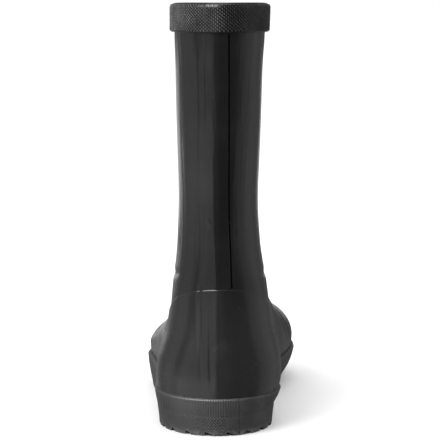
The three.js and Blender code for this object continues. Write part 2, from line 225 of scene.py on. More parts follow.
@dataclass(frozen=True)
class Crease:
    """A soft trough between two banks, drawn on a view of the boot.

    Args:
        start: Its start, along or across, and up, in millimetres.
        end: Its end.
        depth: Depth of the trough; below zero it is a ridge.
        width: Half the trough's width.
        view: The view that it is drawn on.
        bank: Height of its banks, as a share of the depth.
        bank_place: Middle of a bank, in half widths from the trough's middle.
        bank_width: Half a bank's width, in the trough's half widths.
        start_rate: How fast it fades in, in lengths of the crease.
        end_rate: How fast it fades out.
        back_reach: Where a crease on the back has faded out, along the foot.
        back_fade: Length of that fading.
    """

    start: tuple[float, float]
    end: tuple[float, float]
    depth: float
    width: float
    view: View = View.SIDES
    bank: float = 0.4
    bank_place: float = 2.0
    bank_width: float = 1.3
    start_rate: float = 4.0
    end_rate: float = 2.5
    back_reach: float = 60.0
    back_fade: float = 25.0

    def relief(self, point: Array) -> Array:
        """Height of the crease at points of the form.

        Args:
            point: Points, with x, y and z last.

        Returns:
            How far the wall moves out there.
        """
        start = np.array(self.start)
        run = np.array(self.end) - start
        length = float(np.hypot(*run))
        direction = run / length
        away = point[..., (0, 2)] - start if self.view is View.BACK else point[..., 1:] - start
        along = away @ direction
        across = away @ np.array((-direction[1], direction[0]))
        fade = ease(along / length * self.start_rate + 0.5)
        fade = fade * ease((length - along) / length * self.end_rate + 0.5)
        trough = np.exp(-((across / self.width) ** 2))
        banks = sum(np.exp(-(((across / self.width - place) / self.bank_width) ** 2))
                    for place in (-self.bank_place, self.bank_place))
        shape = fade * (self.bank * banks - trough) * self.depth
        if self.view is View.SIDES:
            return shape
        return shape * ease((self.back_reach - point[..., 1]) / self.back_fade)


VAMP_FLEX = (
    Crease((163.0, 66.0), (180.0, 27.0), 0.9, 3.4),
    Crease((149.0, 73.0), (164.0, 36.0), 0.8, 4.0),
    Crease((180.0, 58.0), (190.0, 34.0), 0.45, 3.2),
)

ANKLE_FOLDS = (
    Crease((138.0, 99.0), (92.0, 90.0), 1.1, 4.2),
    Crease((130.0, 113.0), (84.0, 104.0), 1.2, 4.6),
    Crease((126.0, 131.0), (92.0, 126.0), 0.8, 5.0),
    Crease((40.0, 92.6), (82.0, 91.0), 0.55, 1.9, View.SIDES, 0.2),
)

SHAFT_DRAW_LINES = (
    Crease((-14.3, 236.0), (-14.0, 176.0), -0.09, 0.5, View.BACK, 0.0),
    Crease((-11.8, 238.0), (-11.2, 110.0), -0.16, 1.3, View.BACK),
    Crease((-7.0, 238.0), (-6.6, 110.0), -0.2, 1.3, View.BACK),
    Crease((-16.8, 236.0), (-16.5, 130.0), 0.14, 1.6, View.BACK),
)

HEEL_DRAW_LINES = (
    Crease((-10.8, 88.0), (-10.6, 32.0), 0.42, 1.0, View.BACK),
    Crease((-5.4, 84.0), (-4.6, 34.0), 0.26, 0.9, View.BACK),
    Crease((8.2, 85.0), (8.0, 25.0), -0.14, 0.5, View.BACK, 0.0),
    Crease((-1.2, 84.0), (-0.9, 26.0), -0.22, 1.6, View.BACK, 0.0),
)

SHAFT_MARKS = (
    Crease((6.2, 127.6), (17.0, 124.6), 0.3, 0.7, View.BACK, 0.7),
    Crease((-5.6, 128.6), (-5.2, 125.0), -0.3, 0.8, View.BACK, 0.2),
    Crease((12.0, 122.5), (13.5, 119.5), -0.15, 1.2, View.BACK, 0.2),
)

BAND_DRAW_LINES = (
    Crease((-5.7, 272.0), (-5.7, 226.0), -0.4, 1.5, View.BACK, 0.0),
    Crease((-13.2, 272.0), (-13.2, 226.0), 0.16, 1.2, View.BACK, 0.0),
)

CREASES = VAMP_FLEX + ANKLE_FOLDS + SHAFT_DRAW_LINES + HEEL_DRAW_LINES + SHAFT_MARKS


@dataclass(frozen=True)
class BootForm:
    """Outer form of the boot, from its named sizes, as the model's source works it out."""

    boot_height: float = 258.4
    sole_length: float = 266.0
    ball_width: float = 98.0
    heel_width: float = 75.6
    ankle_width: float = 49.0
    ankle_length: float = 114.0
    collar_width: float = 55.8
    collar_length: float = 135.0
    sole_thickness: float = 12.4
    widest_height: float = 30.0
    toe_height: float = 54.0
    instep_height: float = 77.0
    ankle_height: float = 137.0
    heel_inset: float = 1.8
    ankle_hollow: float = 10.7
    shaft_lean: float = 1.2
    wall: float = 2.2
    gap: float = 0.3
    heel_cap: float = 47.0
    heel_point: float = 2.05
    shaft_point: float = 1.8
    shaft_back_cap: float = 46.0
    shaft_front_cap: float = 56.0
    shaft_front_point: float = 2.0
    instep_front_cap: float = 90.0
    inner_toe_cap: float = 62.0
    inner_toe_point: float = 2.2
    outer_toe_cap: float = 96.0
    outer_toe_point: float = 2.0
    inner_tuck: float = 0.28
    outer_tuck: float = 0.01
    inner_flank: float = 1.85
    outer_flank: float = 1.55
    foot_start: float = 105.0
    foot_full: float = 205.0
    shaft_start: float = 60.0
    shaft_full: float = 115.0
    toe_spring: float = 6.0
    toe_spring_start: float = 196.0
    arch_rise: float = 5.5
    arch_end: float = 122.0
    arch_slope: float = 26.0
    heel_reach: float = 74.0
    breast_slope: float = 4.0
    turn_step: float = 0.004
    height_step: float = 0.5
    sway: float = 0.22
    sway_rise: float = 19.0
    sway_along: float = 31.0
    sway_across: float = 11.0
    sway_twist: float = 47.0
    sway_start: float = 0.8
    calm_foot: float = 25.0
    calm_rim: float = 22.0
    calm_shaft: float = 20.0
    band_height: float = 18.0
    band_thickness: float = 2.1
    stay_shift: float = 2.6
    collar_dip: float = 2.4
    dip_reach: float = 30.0
    samples: int = 600

    def leg_key(self, z: Array) -> Array:
        """Row of the leg's table for a height.

        Args:
            z: Heights.

        Returns:
            The rows.
        """
        shaft = (z - self.ankle_height) / (self.boot_height - self.ankle_height)
        return np.where(z < self.ankle_height, z / self.ankle_height, 1.0 + shaft)

    def stage(self, z: Array) -> Array:
        """Row of the front's table for a height.

        Args:
            z: Heights.

        Returns:
            The rows.
        """
        heights = (self.sole_thickness, self.widest_height, self.toe_height,
                   self.instep_height, self.ankle_height, self.boot_height)
        return np.interp(z, heights, range(len(heights)))

    def back(self, z: Array) -> Array:
        """Place of the back of the boot at a height."""
        return self.heel_inset + self.ankle_hollow * LEG["hollow"](self.leg_key(z))

    def front(self, z: Array) -> Array:
        """Place of the front of the boot at a height.

        Args:
            z: Heights.

        Returns:
            Places along the foot.
        """
        stage = self.stage(z)
        foot = self.sole_length * FRONT["foot"](stage)
        ankle = self.back(np.array(self.ankle_height)) + self.ankle_length
        collar = self.back(np.array(self.boot_height)) + self.collar_length
        shin = mix(foot, ankle, FRONT["shin"](stage))
        return mix(shin, collar, FRONT["collar"](stage))

    def leg_half(self, z: Array) -> Array:
        """Half of the heel's or shaft's width at a height.

        Args:
            z: Heights.

        Returns:
            Half widths.
        """
        key = self.leg_key(z)
        heel = (self.heel_width - self.ankle_width) * LEG["heel"](key)
        collar = (self.collar_width - self.ankle_width) * LEG["collar"](key)
        return (self.ankle_width + heel + collar) / 2.0

    def ridge(self, y: Array) -> Array:
        """Height of the foot's ridge above a place along the foot.

        Args:
            y: Places along the foot.

        Returns:
            Heights of the ridge.
        """
        heights = np.linspace(self.ankle_height, self.widest_height, self.samples)
        return np.interp(y, self.front(heights), heights)

    @staticmethod
    def cap(distance: Array, length: Array, point: Array) -> Array:
        """Round end of a plan: 0 at its tip, 1 from its length on.

        Args:
            distance: Distance from the tip.
            length: Length of the round end.
            point: How blunt it is; 2 is an ellipse.

        Returns:
            Shares of the full width.
        """
        share = 1.0 - np.clip(distance / length, 0.0, 1.0)
        return (1.0 - share ** point) ** (1.0 / point)

    def foot_side(self, y: Array, z: Array, inner: Array) -> tuple[Array, Array]:
        """The foot's own form.

        Args:
            y: Places along the foot.
            z: Heights.
            inner: True on the inner side.

        Returns:
            The ridge's x, and the reach from there to the side.
        """
        along = y / self.sole_length
        lean = PLAN["spine"](along)
        share = np.where(inner, PLAN["inner"](along) - lean, PLAN["outer"](along) + lean)
        tip = self.front(np.minimum(z, self.widest_height))
        length = np.where(inner, self.inner_toe_cap, self.outer_toe_cap)
        point = np.where(inner, self.inner_toe_point, self.outer_toe_point)
        toe_round = self.cap(tip - y, length, point)
        drop = np.clip((self.widest_height - z) / self.widest_height, 0.0, 1.0)
        ankle_front = self.back(np.array(self.ankle_height)) + self.ankle_length
        under = ease((y - self.heel_cap) / (ankle_front - self.heel_cap))
        height = np.maximum(self.ridge(y) - self.widest_height, 1e-6)
        climb = under * np.clip((z - self.widest_height) / height, 0.0, 1.0)
        flank = np.where(inner, self.inner_flank, self.outer_flank)
        dome = (1.0 - climb ** flank) ** (1.0 / flank)
        tuck = np.where(inner, self.inner_tuck, self.outer_tuck)
        dome = np.where(z > self.widest_height, dome, 1.0 - tuck * drop * drop)
        heel = self.leg_half(z) / self.leg_half(np.array(self.widest_height))
        foot_share = ease((y - self.foot_start) / (self.foot_full - self.foot_start))
        reach = self.ball_width * share * toe_round * dome * mix(heel, 1.0, foot_share)
        return self.ball_width * lean, reach

    def point(self, turn: Array, z: Array) -> Array:
        """Points of the plain form.

        Args:
            turn: Shares of the way around, from the back past the inner side.
            z: Heights.

        Returns:
            Points, with x, y and z last.
        """
        turn, z = np.broadcast_arrays(np.asarray(turn, float), np.asarray(z, float))
        inner = np.sin(2.0 * np.pi * turn) >= 0.0
        along = (1.0 - np.cos(2.0 * np.pi * turn)) / 2.0
        back, front = self.back(z), self.front(z)
        y = mix(back, front, along)
        foot_spine, foot_reach = self.foot_side(y, z, inner)
        length_share = ease((z - self.shaft_start) / (self.ankle_height - self.shaft_start))
        length = mix(self.instep_front_cap, self.shaft_front_cap, length_share)
        shaft_reach = self.leg_half(z) * self.cap(front - y, length, self.shaft_front_point)
        shaft_share = ease((z - self.shaft_start) / (self.shaft_full - self.shaft_start))
        heel_share = ease((z - self.widest_height) / (self.ankle_height - self.widest_height))
        back_length = mix(self.heel_cap, self.shaft_back_cap, heel_share)
        back_point = mix(self.heel_point, self.shaft_point, heel_share)
        heel_round = self.cap(y - back, back_length, back_point)
        reach = mix(foot_reach, shaft_reach, shaft_share) * heel_round
        lean = self.shaft_lean * LEG["lean"](self.leg_key(z))
        spine = mix(foot_spine, 0.0, shaft_share) + lean
        return np.stack([spine + np.where(inner, reach, -reach), y, z], axis=-1)

    def normal(self, turn: Array, z: Array) -> Array:
        """Directions straight out of the form.

        Args:
            turn: Shares of the way around.
            z: Heights.

        Returns:
            Directions of length 1.
        """
        around = self.point(turn + self.turn_step, z) - self.point(turn - self.turn_step, z)
        upward = self.point(turn, z + self.height_step) - self.point(turn, z - self.height_step)
        out = np.cross(around, upward)
        return out / np.linalg.norm(out, axis=-1, keepdims=True)

    def relief(self, point: Array) -> Array:
        """Creases and the slight sway of a moulded wall at points of the form.

        Args:
            point: Points, with x, y and z last.

        Returns:
            How far the wall moves out there.
        """
        x, y, z = (point[..., axis] for axis in range(3))
        creases = sum(crease.relief(point) for crease in CREASES)
        sway = np.sin(z / self.sway_rise + y / self.sway_along)
        sway *= np.sin(x / self.sway_across - z / self.sway_twist + self.sway_start)
        calm = ease((z - self.sole_thickness) / self.calm_foot)
        calm *= ease((self.boot_height - self.calm_rim - z) / self.calm_shaft)
        band = sum(crease.relief(point) for crease in BAND_DRAW_LINES)
        return (creases + self.sway * sway) * calm + band

    def surface(self, turn: Array, z: Array, offset: Array = 0.0) -> Array:
        """Points of the finished wall.

        Args:
            turn: Shares of the way around.
            z: Heights.
            offset: How far the points stand out from the wall.

        Returns:
            Points, with x, y and z last.
        """
        turn, z = np.broadcast_arrays(np.asarray(turn, float), np.asarray(z, float))
        point = self.point(turn, z)
        out = np.asarray(offset) + self.relief(point)
        return point + self.normal(turn, z) * np.broadcast_to(out, z.shape)[..., None]

    def spring(self, y: Array) -> Array:
        """Lift of the sole towards the toe.

        Args:
            y: Places along the foot.

        Returns:
            Lifts.
        """
        reach = self.sole_length - self.toe_spring_start
        return self.toe_spring * np.clip((y - self.toe_spring_start) / reach, 0.0, 1.0) ** 2

    def sole_top(self, y: Array) -> Array:
        """Top of the outsole along the foot."""
        return self.sole_thickness + self.spring(y)

    def arch(self, y: Array) -> Array:
        """Rise of the underside between heel and ball.

        Args:
            y: Places along the foot.

        Returns:
            Rises.
        """
        breast = ease((y - self.heel_reach) / self.breast_slope)
        return self.arch_rise * breast * ease((self.arch_end - y) / self.arch_slope)

    def foot_place(self, turn: Array) -> Array:
        """Place along the foot of a turn at the sole.

        Args:
            turn: Shares of the way around.

        Returns:
            Places along the foot.
        """
        along = (1.0 - np.cos(2.0 * np.pi * np.asarray(turn))) / 2.0
        low = np.array(self.sole_thickness)
        return mix(self.back(low), self.front(low), along)

    def feather(self, turn: Array) -> Array:
        """Height of the wall's lowest line."""
        return self.sole_top(self.foot_place(turn)) + self.gap

    def outline(self, turn: Array, spread: Array) -> Array:
        """The sole's outline, moved out level by a distance.

        Args:
            turn: Shares of the way around.
            spread: How far out the line lies.

        Returns:
            Points of the line.
        """
        z = self.feather(turn)
        level = self.normal(turn, z)
        level[..., 2] = 0.0
        level /= np.linalg.norm(level, axis=-1, keepdims=True)
        return self.point(turn, z) + level * np.broadcast_to(spread, z.shape)[..., None]


def turns(count: int) -> Array:
    """Even shares of the way around."""
    return np.arange(count) / count


class Place:
    """Moves points from the boot's own frame into the model's, in metres."""

    samples = 60

    def __init__(self, form: BootForm) -> None:
        """Read the shift from where the model's pieces lie.

        Args:
            form: The boot's form.
        """
        self.form = form
        stay_low, stay_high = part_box("back_stay")
        band_low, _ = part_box("collar_band")
        heights = np.linspace(form.boot_height - form.band_height, form.boot_height, self.samples)
        outward = form.normal(np.zeros_like(heights), heights)
        band = form.point(0.0, heights) + outward * (form.gap + form.band_thickness)
        drift = STAY_LINE["shift"](np.array((0.0, 1.0)))
        middle = (stay_low.x + stay_high.x) / 2.0 - form.stay_shift * drift.mean() * MM
        self.shift = np.array((middle, band_low.y - band[:, 1].min() * MM, 0.0))

    def __call__(self, points: Array) -> Array:
        """Points in the model's frame, in metres, the collar dipped a little in front.

        Args:
            points: Points in the boot's own frame, in millimetres.

        Returns:
            The moved points.
        """
        placed = np.array(points, dtype=float)
        form = self.form
        near_rim = ease((placed[..., 2] - form.boot_height + form.dip_reach) / form.dip_reach)
        placed[..., 2] -= form.collar_dip * near_rim * ease(placed[..., 1] / form.collar_length)
        return placed * MM + self.shift


def make_object(name: str, points: Array, faces: Sequence[Sequence[int]],
                sharp: float = 40.0) -> bpy.types.Object:
    """Make a mesh object with smooth faces and sharp edges kept.

    Args:
        name: Name of the object.
        points: Points in metres.
        faces: Faces as lists of point numbers.
        sharp: Angle in degrees from which an edge stays sharp.

    Returns:
        The new object.
    """
    mesh = bpy.data.meshes.new(name)
    mesh.from_pydata(np.asarray(points).reshape(-1, 3).tolist(), [], faces)
    mesh.validate()
    mesh.shade_smooth()
    mesh.set_sharp_from_angle(angle=math.radians(sharp))
    made = bpy.data.objects.new(name, mesh)
    bpy.context.scene.collection.objects.link(made)
    return made


def skin_faces(rows: int, count: int, closed: bool) -> list[tuple[int, ...]]:
    """Faces between rings that follow each other upwards on the outer side.

    Args:
        rows: Number of rings.
        count: Points in each ring.
        closed: True where the last ring joins the first.

    Returns:
        The faces.
    """
    faces = []
    for row in range(rows if closed else rows - 1):
        low, high = row * count, ((row + 1) % rows) * count
        for index in range(count):
            after = (index + 1) % count
            faces.append((low + index, low + after, high + after, high + index))
    return faces


def lid_faces(start: int, count: int, faces_up: bool) -> list[tuple[int, ...]]:
    """Faces that close a ring, in strips between its inner and its outer side.

    Args:
        start: Number of the ring's first point.
        count: Points in the ring.
        faces_up: True for a lid on top, False for one underneath.

    Returns:
        The faces.
    """
    faces = []
    for index in range(count // 2):
        corners = (start + index, start + index + 1,
                   start + count - index - 1, start + (count - index) % count)
        face = tuple(dict.fromkeys(corners))
        faces.append(face if faces_up else face[::-1])
    return faces


def patch_faces(rows: int, columns: int) -> list[tuple[int, ...]]:
    """Faces of an open sheet of rows, facing out.

    Args:
        rows: Number of rows.
        columns: Points in each row.

    Returns:
        The faces.
    """
    faces = []
    for row in range(rows - 1):
        for column in range(columns - 1):
            first = row * columns + column
            faces.append((first, first + 1, first + columns + 1, first + columns))
    return faces


def sheet_object(name: str, outer: Array, inner: Array, sharp: float) -> bpy.types.Object:
    """Close two sheets of points into one thin body.

    Args:
        name: Name of the object.
        outer: Points of the outer face, rows first.
        inner: Points of the inner face.
        sharp: Angle in degrees from which an edge stays sharp.

    Returns:
        The new object.
    """
    rows, columns = outer.shape[:2]
    total = rows * columns
    faces = patch_faces(rows, columns)
    faces += [tuple(total + corner for corner in face[::-1]) for face in patch_faces(rows, columns)]
    rim = ([(0, column) for column in range(columns - 1)]
           + [(row, columns - 1) for row in range(rows - 1)]
           + [(rows - 1, column) for column in range(columns - 1, 0, -1)]
           + [(row, 0) for row in range(rows - 1, 0, -1)])
    numbers = [row * columns + column for row, column in rim]
    for here, after in zip(numbers, numbers[1:] + numbers[:1]):
        faces.append((after, here, total + here, total + after))
    points = np.concatenate([outer.reshape(-1, 3), inner.reshape(-1, 3)])
    return make_object(name, points, faces, sharp)


def plain_mesh(made: bpy.types.Object) -> bpy.types.Object:
    """Turn an object with modifiers into a plain mesh, and take the modifiers off.

    Args:
        made: The object.

    Returns:
        The same object.
    """
    graph = bpy.context.evaluated_depsgraph_get()
    mesh = bpy.data.meshes.new_from_object(made.evaluated_get(graph), depsgraph=graph)
    made.modifiers.clear()
    old = made.data
    made.data = mesh
    bpy.data.meshes.remove(old)
    mesh.name = made.name
    return made


class Value:
    """A value that varies over a surface; operators on it add Math nodes."""

    def __init__(self, graph: "Graph", socket: bpy.types.NodeSocket) -> None:
        """Wrap a socket of a graph.

        Args:
            graph: The graph.
            socket: The socket that gives the value.
        """
        self.graph = graph
        self.socket = socket

    def __add__(self, other: "Number") -> "Value":
        """Sum."""
        return self.graph.math("ADD", self, other)

    def __radd__(self, other: "Number") -> "Value":
        """Sum."""
        return self.graph.math("ADD", other, self)

    def __sub__(self, other: "Number") -> "Value":
        """Difference."""
        return self.graph.math("SUBTRACT", self, other)

    def __rsub__(self, other: "Number") -> "Value":
        """Difference."""
        return self.graph.math("SUBTRACT", other, self)

    def __mul__(self, other: "Number") -> "Value":
        """Product."""
        return self.graph.math("MULTIPLY", self, other)

    def __rmul__(self, other: "Number") -> "Value":
        """Product."""
        return self.graph.math("MULTIPLY", other, self)

    def step(self, low: float, high: float) -> "Value":
        """Smooth step of this value between two limits.

        Args:
            low: Where the step starts, at 0.
            high: Where it ends, at 1.

        Returns:
            The stepped value.
        """
        node = self.graph.add("ShaderNodeMapRange", {"interpolation_type": "SMOOTHSTEP"},
                              {"Value": self, "From Min": low, "From Max": high})
        return Value(self.graph, node.outputs["Result"])

    def wave(self) -> "Value":
        """Sine of this value."""
        return self.graph.math("SINE", self)

    def size(self) -> "Value":
        """This value without its sign."""
        return self.graph.math("ABSOLUTE", self)


Number = Value | float
Colour = tuple[float, float, float]


class Nodes:
    """Adds nodes to a tree and feeds their sockets."""

    def __init__(self, tree: bpy.types.NodeTree) -> None:
        """Take a tree in hand.

        Args:
            tree: The tree.
        """
        self.tree = tree

    def add(self, kind: str, settings: Optional[dict] = None,
            inputs: Optional[dict] = None) -> bpy.types.Node:
        """Add a node.

        Args:
            kind: The node's type.
            settings: Its settings, set first.
            inputs: Values or links of its sockets, by name or number.

        Returns:
            The node.
        """
        node = self.tree.nodes.new(kind)
        for name, value in (settings or {}).items():
            setattr(node, name, value)
        for name, value in (inputs or {}).items():
            self.feed(node.inputs[name], value)
        return node

    def feed(self, target: bpy.types.NodeSocket, value: object) -> None:
        """Link a socket or set its value.

        Args:
            target: The socket.
            value: A value, a socket or a plain number, colour or vector.
        """
        source = value.socket if isinstance(value, Value) else value
        if isinstance(source, bpy.types.NodeSocket):
            self.tree.links.new(source, target)
        elif isinstance(source, tuple) and target.type == "RGBA":
            target.default_value = (*source, 1.0)
        else:
            target.default_value = source


class Graph(Nodes):
    """Node graph of one material."""

    noise_roughness = 0.55

    def __init__(self, name: str) -> None:
        """Start an empty material with an output and a main shader.

        Args:
            name: Name of the material.
        """
        self.material = bpy.data.materials.new(name)
        self.material.use_nodes = True
        super().__init__(self.material.node_tree)
        self.tree.nodes.clear()
        self.shader = self.add("ShaderNodeBsdfPrincipled")
        output = self.add("ShaderNodeOutputMaterial")
        self.tree.links.new(self.shader.outputs["BSDF"], output.inputs["Surface"])
        coordinates = self.add("ShaderNodeTexCoord")
        self.place = coordinates.outputs["Object"]
        split = self.add("ShaderNodeSeparateXYZ", {}, {"Vector": self.place})
        self.x, self.y, self.z = (Value(self, split.outputs[axis]) for axis in "XYZ")

    def math(self, operation: str, *values: Number) -> Value:
        """Add a Math node.

        Args:
            operation: The node's operation.
            values: Its inputs, in order.

        Returns:
            The result.
        """
        node = self.add("ShaderNodeMath", {"operation": operation}, dict(enumerate(values)))
        return Value(self, node.outputs[0])

    def stretched(self, x: float, y: float, z: float) -> bpy.types.NodeSocket:
        """Object coordinates times a number for each axis.

        Args:
            x: Number for x.
            y: Number for y.
            z: Number for z.

        Returns:
            The stretched coordinates.
        """
        node = self.add("ShaderNodeVectorMath", {"operation": "MULTIPLY"},
                        {0: self.place, 1: Vector((x, y, z))})
        return node.outputs["Vector"]

    def noise(self, scale: float, detail: float = 2.0,
              vector: Optional[bpy.types.NodeSocket] = None) -> Value:
        """Soft noise between 0 and 1.

        Args:
            scale: Lumps in a metre.
            detail: How many finer layers lie on it.
            vector: Coordinates; the object's own where none are given.

        Returns:
            The noise.
        """
        node = self.add("ShaderNodeTexNoise", {}, {
            "Vector": self.place if vector is None else vector,
            "Scale": scale, "Detail": detail, "Roughness": self.noise_roughness})
        return Value(self, node.outputs["Fac"])

    def tint(self, share: Number, start: object, end: object) -> Value:
        """Mix of two colours.

        Args:
            share: Share of the second colour.
            start: First colour.
            end: Second colour.

        Returns:
            The mixed colour.
        """
        node = self.add("ShaderNodeMix", {"data_type": "RGBA"}, {0: share, 6: start, 7: end})
        return Value(self, node.outputs[2])

    def bump(self, height: Value, distance: float, strength: float = 1.0,
             under: Optional[Value] = None) -> Value:
        """Normal from a height, on top of another one.

        Args:
            height: The height.
            distance: Metres that a height of 1 stands for.
            strength: Share of the effect.
            under: Normal that it lies on.

        Returns:
            The normal.
        """
        inputs = {"Height": height, "Distance": distance, "Strength": strength}
        if under is not None:
            inputs["Normal"] = under
        node = self.add("ShaderNodeBump", {}, inputs)
        return Value(self, node.outputs["Normal"])

    def finish(self, **sockets: object) -> bpy.types.Material:
        """Feed the main shader's sockets, with _ for a space, and return the material.

        Args:
            sockets: Values or links of the sockets.

        Returns:
            The material.
        """
        for name, value in sockets.items():
            self.feed(self.shader.inputs[name.replace("_", " ")], value)
        return self.material


@dataclass(frozen=True)
class GlossRubber:
    """Semi-gloss black rubber of the upper: fine grain, drawn streaks, dust low down."""

    name: str = "gloss_rubber"
    black: Colour = (0.004, 0.004, 0.0042)
    bloom: Colour = (0.008, 0.008, 0.0083)
    # Paler base colour for the lower part of the upper.
    paler: Colour = (0.0105, 0.0105, 0.0107)
    dust: Colour = (0.05, 0.048, 0.045)
    roughness: float = 0.17
    specular: float = 0.5
    streak_height: float = 0.0005
    grain_height: float = 0.00006
    cloud_scale: float = 26.0
    patch_scale: float = 9.0
    dust_scale: float = 60.0
    grain_scale: float = 1500.0
    wear_scale: float = 40.0
    dent_scale: float = 34.0
    dent_share: float = 0.9
    streak_stretch: Point = (170.0, 170.0, 9.0)
    scratch_stretch: Point = (900.0, 900.0, 60.0)
    foot_z: tuple[float, float] = (0.05, 0.1)
    shaft_z: tuple[float, float] = (0.085, 0.12)
    dust_share: float = 0.04
    rough_patches: float = 0.1
    rough_dust: float = 0.1
    rough_scratches: float = 0.15

    def build(self) -> bpy.types.Material:
        """Make the material.

        Returns:
            The material.
        """
        graph = Graph(self.name)
        cloud = graph.noise(self.cloud_scale, 4.0)
        patches = graph.noise(self.patch_scale)
        low = 1.0 - graph.z.step(*self.foot_z)
        dusty = low * graph.noise(self.dust_scale, 5.0).step(0.5, 0.75)
        base = graph.tint(cloud.step(0.35, 0.75), self.black, self.bloom)
        # The base turns to the paler colour low down, towards the foot.
        base = graph.tint(low, base, self.paler)
        colour = graph.tint(dusty * self.dust_share, base, self.dust)
        streaks = graph.noise(1.0, 2.0, graph.stretched(*self.streak_stretch))
        dents = graph.noise(self.dent_scale, 1.0) * self.dent_share
        lines = graph.noise(1.0, 3.0, graph.stretched(*self.scratch_stretch)).step(0.66, 0.74)
        scratches = lines * graph.noise(self.wear_scale).step(0.5, 0.62)
        rough = self.roughness + patches * self.rough_patches + dusty * self.rough_dust
        rough = rough + scratches * self.rough_scratches
        soft = graph.bump(streaks * graph.z.step(*self.shaft_z) + dents, self.streak_height)
        normal = graph.bump(graph.noise(self.grain_scale), self.grain_height, 1.0, soft)
        return graph.finish(Base_Color=colour, Roughness=rough, Normal=normal,
                            Specular_IOR_Level=self.specular)


@dataclass(frozen=True)
class BandRubber:
    """Satin rubber of the beaded band: a paler tone in random clouds of wear, and painted light that
    makes the left side paler.
    """

    name: str = "band_rubber"
    black: Colour = (0.003, 0.003, 0.0031)
    # Pale tone: clouds of wear, and painted light on the left side.
    worn_and_lit: Colour = (0.008, 0.008, 0.008)
    roughness: float = 0.2
    specular: float = 0.5
    # Painted light: x in metres over which the pale tone fades from the lit-looking left side, and
    # the share of it that fades.
    painted_light_x: tuple[float, float] = (0.0, 0.006)
    painted_light_share: float = 0.75
    worn_least: float = 0.4
    cloud_scale: float = 55.0
    patch_scale: float = 240.0
    rough_patches: float = 0.12
    grain_scale: float = 1300.0
    grain_height: float = 0.00008

    def build(self) -> bpy.types.Material:
        """Make the material.

        Returns:
            The material.
        """
        graph = Graph(self.name)
        cloud = graph.noise(self.cloud_scale, 3.0).step(0.42, 0.7)
        # Painted light: the pale tone is full on the left and falls to a quarter on the right, as if
        # the left side were lit.
        paler = 1.0 - graph.x.step(*self.painted_light_x) * self.painted_light_share
        worn_and_lit = self.worn_least + cloud * (1.0 - self.worn_least)
        # The pale colour stands for clouds of wear and, through the mask above, for painted light.
        colour = graph.tint(worn_and_lit * paler, self.black, self.worn_and_lit)
        rough = self.roughness + graph.noise(self.patch_scale) * self.rough_patches
        normal = graph.bump(graph.noise(self.grain_scale), self.grain_height)
        return graph.finish(Base_Color=colour, Roughness=rough, Normal=normal,
                            Specular_IOR_Level=self.specular)


@dataclass(frozen=True)
class SoleRubber:
    """Matt dark grey rubber of the foxing and outsole, dotted low down and dusty below."""

    name: str = "sole_rubber"
    grey: Colour = (0.018, 0.018, 0.0185)
    pale: Colour = (0.034, 0.0335, 0.033)
    dust: Colour = (0.14, 0.135, 0.125)
    roughness: float = 0.42
    specular: float = 0.9
    dotted: float = 1.0
    dot_pitch: float = 0.0019
    splice_x: float = 0.0105
    splice_half: float = 0.0004
    splice_black: Colour = (0.006, 0.006, 0.006)
    splice_share: float = 0.8
    splice_depth: float = 2.0
    behind_y: tuple[float, float] = (-0.11, -0.1)
    cloud_scale: float = 70.0
    speckle_scale: float = 900.0
    speckle_share: float = 0.3
    dust_scale: float = 180.0
    dust_share: float = 0.6
    dust_z: tuple[float, float] = (0.0, 0.0045)
    rib_rate: float = 4200.0
    rib_share: float = 0.25
    grain_scale: float = 1100.0
    grain_share: float = 0.5
    relief_height: float = 0.00022
    rough_cloud: float = 0.12
    rough_dust: float = 0.2

    def build(self) -> bpy.types.Material:
        """Make the material.

        Returns:
            The material.
        """
        graph = Graph(self.name)
        cloud = graph.noise(self.cloud_scale, 4.0)
        speckle = graph.noise(self.speckle_scale).step(0.6, 0.72) * self.speckle_share
        shade = cloud.step(0.3, 0.7) * (1.0 - self.speckle_share) + speckle
        base = graph.tint(shade, self.grey, self.pale)
        ground = 1.0 - graph.z.step(*self.dust_z)
        dusty = ground * graph.noise(self.dust_scale, 4.0).step(0.35, 0.65)
        colour = graph.tint(dusty * self.dust_share, base, self.dust)
        behind = 1.0 - graph.y.step(*self.behind_y)
        splice = behind * (1.0 - (graph.x - self.splice_x).size().step(0.0, self.splice_half))
        colour = graph.tint(splice * self.splice_share, colour, self.splice_black)
        turn = 2.0 * math.pi / self.dot_pitch
        girth = graph.x.size() + graph.y
        dots = ((girth * turn).wave() * (graph.z * turn).wave()).step(0.1, 0.8) * self.dotted
        ribs = (graph.x * self.rib_rate).wave() * behind * ((1.0 - self.dotted) * self.rib_share)
        fine = graph.noise(self.grain_scale, 3.0) * self.grain_share
        normal = graph.bump(dots + ribs + fine - splice * self.splice_depth, self.relief_height)
        rough = self.roughness + cloud * self.rough_cloud + dusty * self.rough_dust
        return graph.finish(Base_Color=colour, Roughness=rough, Normal=normal,
                            Specular_IOR_Level=self.specular)


@dataclass(frozen=True)
class KnitLining:
    """Grey knit that lines the wall and covers the insole."""

    name: str = "lining"
    shade: Colour = (0.05, 0.05, 0.052)
    loop: Colour = (0.13, 0.13, 0.128)
    pitch: float = 0.0014
    roughness: float = 0.95
    sheen: float = 0.3
    column_rate: float = 0.7
    fuzz_scale: float = 1400.0
    fuzz_tint: float = 0.3
    fuzz_lift: float = 0.6
    knit_height: float = 0.0004

    def build(self) -> bpy.types.Material:
        """Make the material.

        Returns:
            The material.
        """
        graph = Graph(self.name)
        turn = 2.0 * math.pi / self.pitch
        course = ((graph.z + graph.y) * turn).wave()
        column = ((graph.x - graph.y) * turn * self.column_rate).wave()
        knit = (course * column).step(-1.0, 1.0)
        fuzz = graph.noise(self.fuzz_scale, 3.0)
        share = knit * (1.0 - self.fuzz_tint) + fuzz * self.fuzz_tint
        colour = graph.tint(share, self.shade, self.loop)
        normal = graph.bump(knit + fuzz * self.fuzz_lift, self.knit_height)
        return graph.finish(Base_Color=colour, Roughness=self.roughness, Normal=normal,
                            Sheen_Weight=self.sheen)


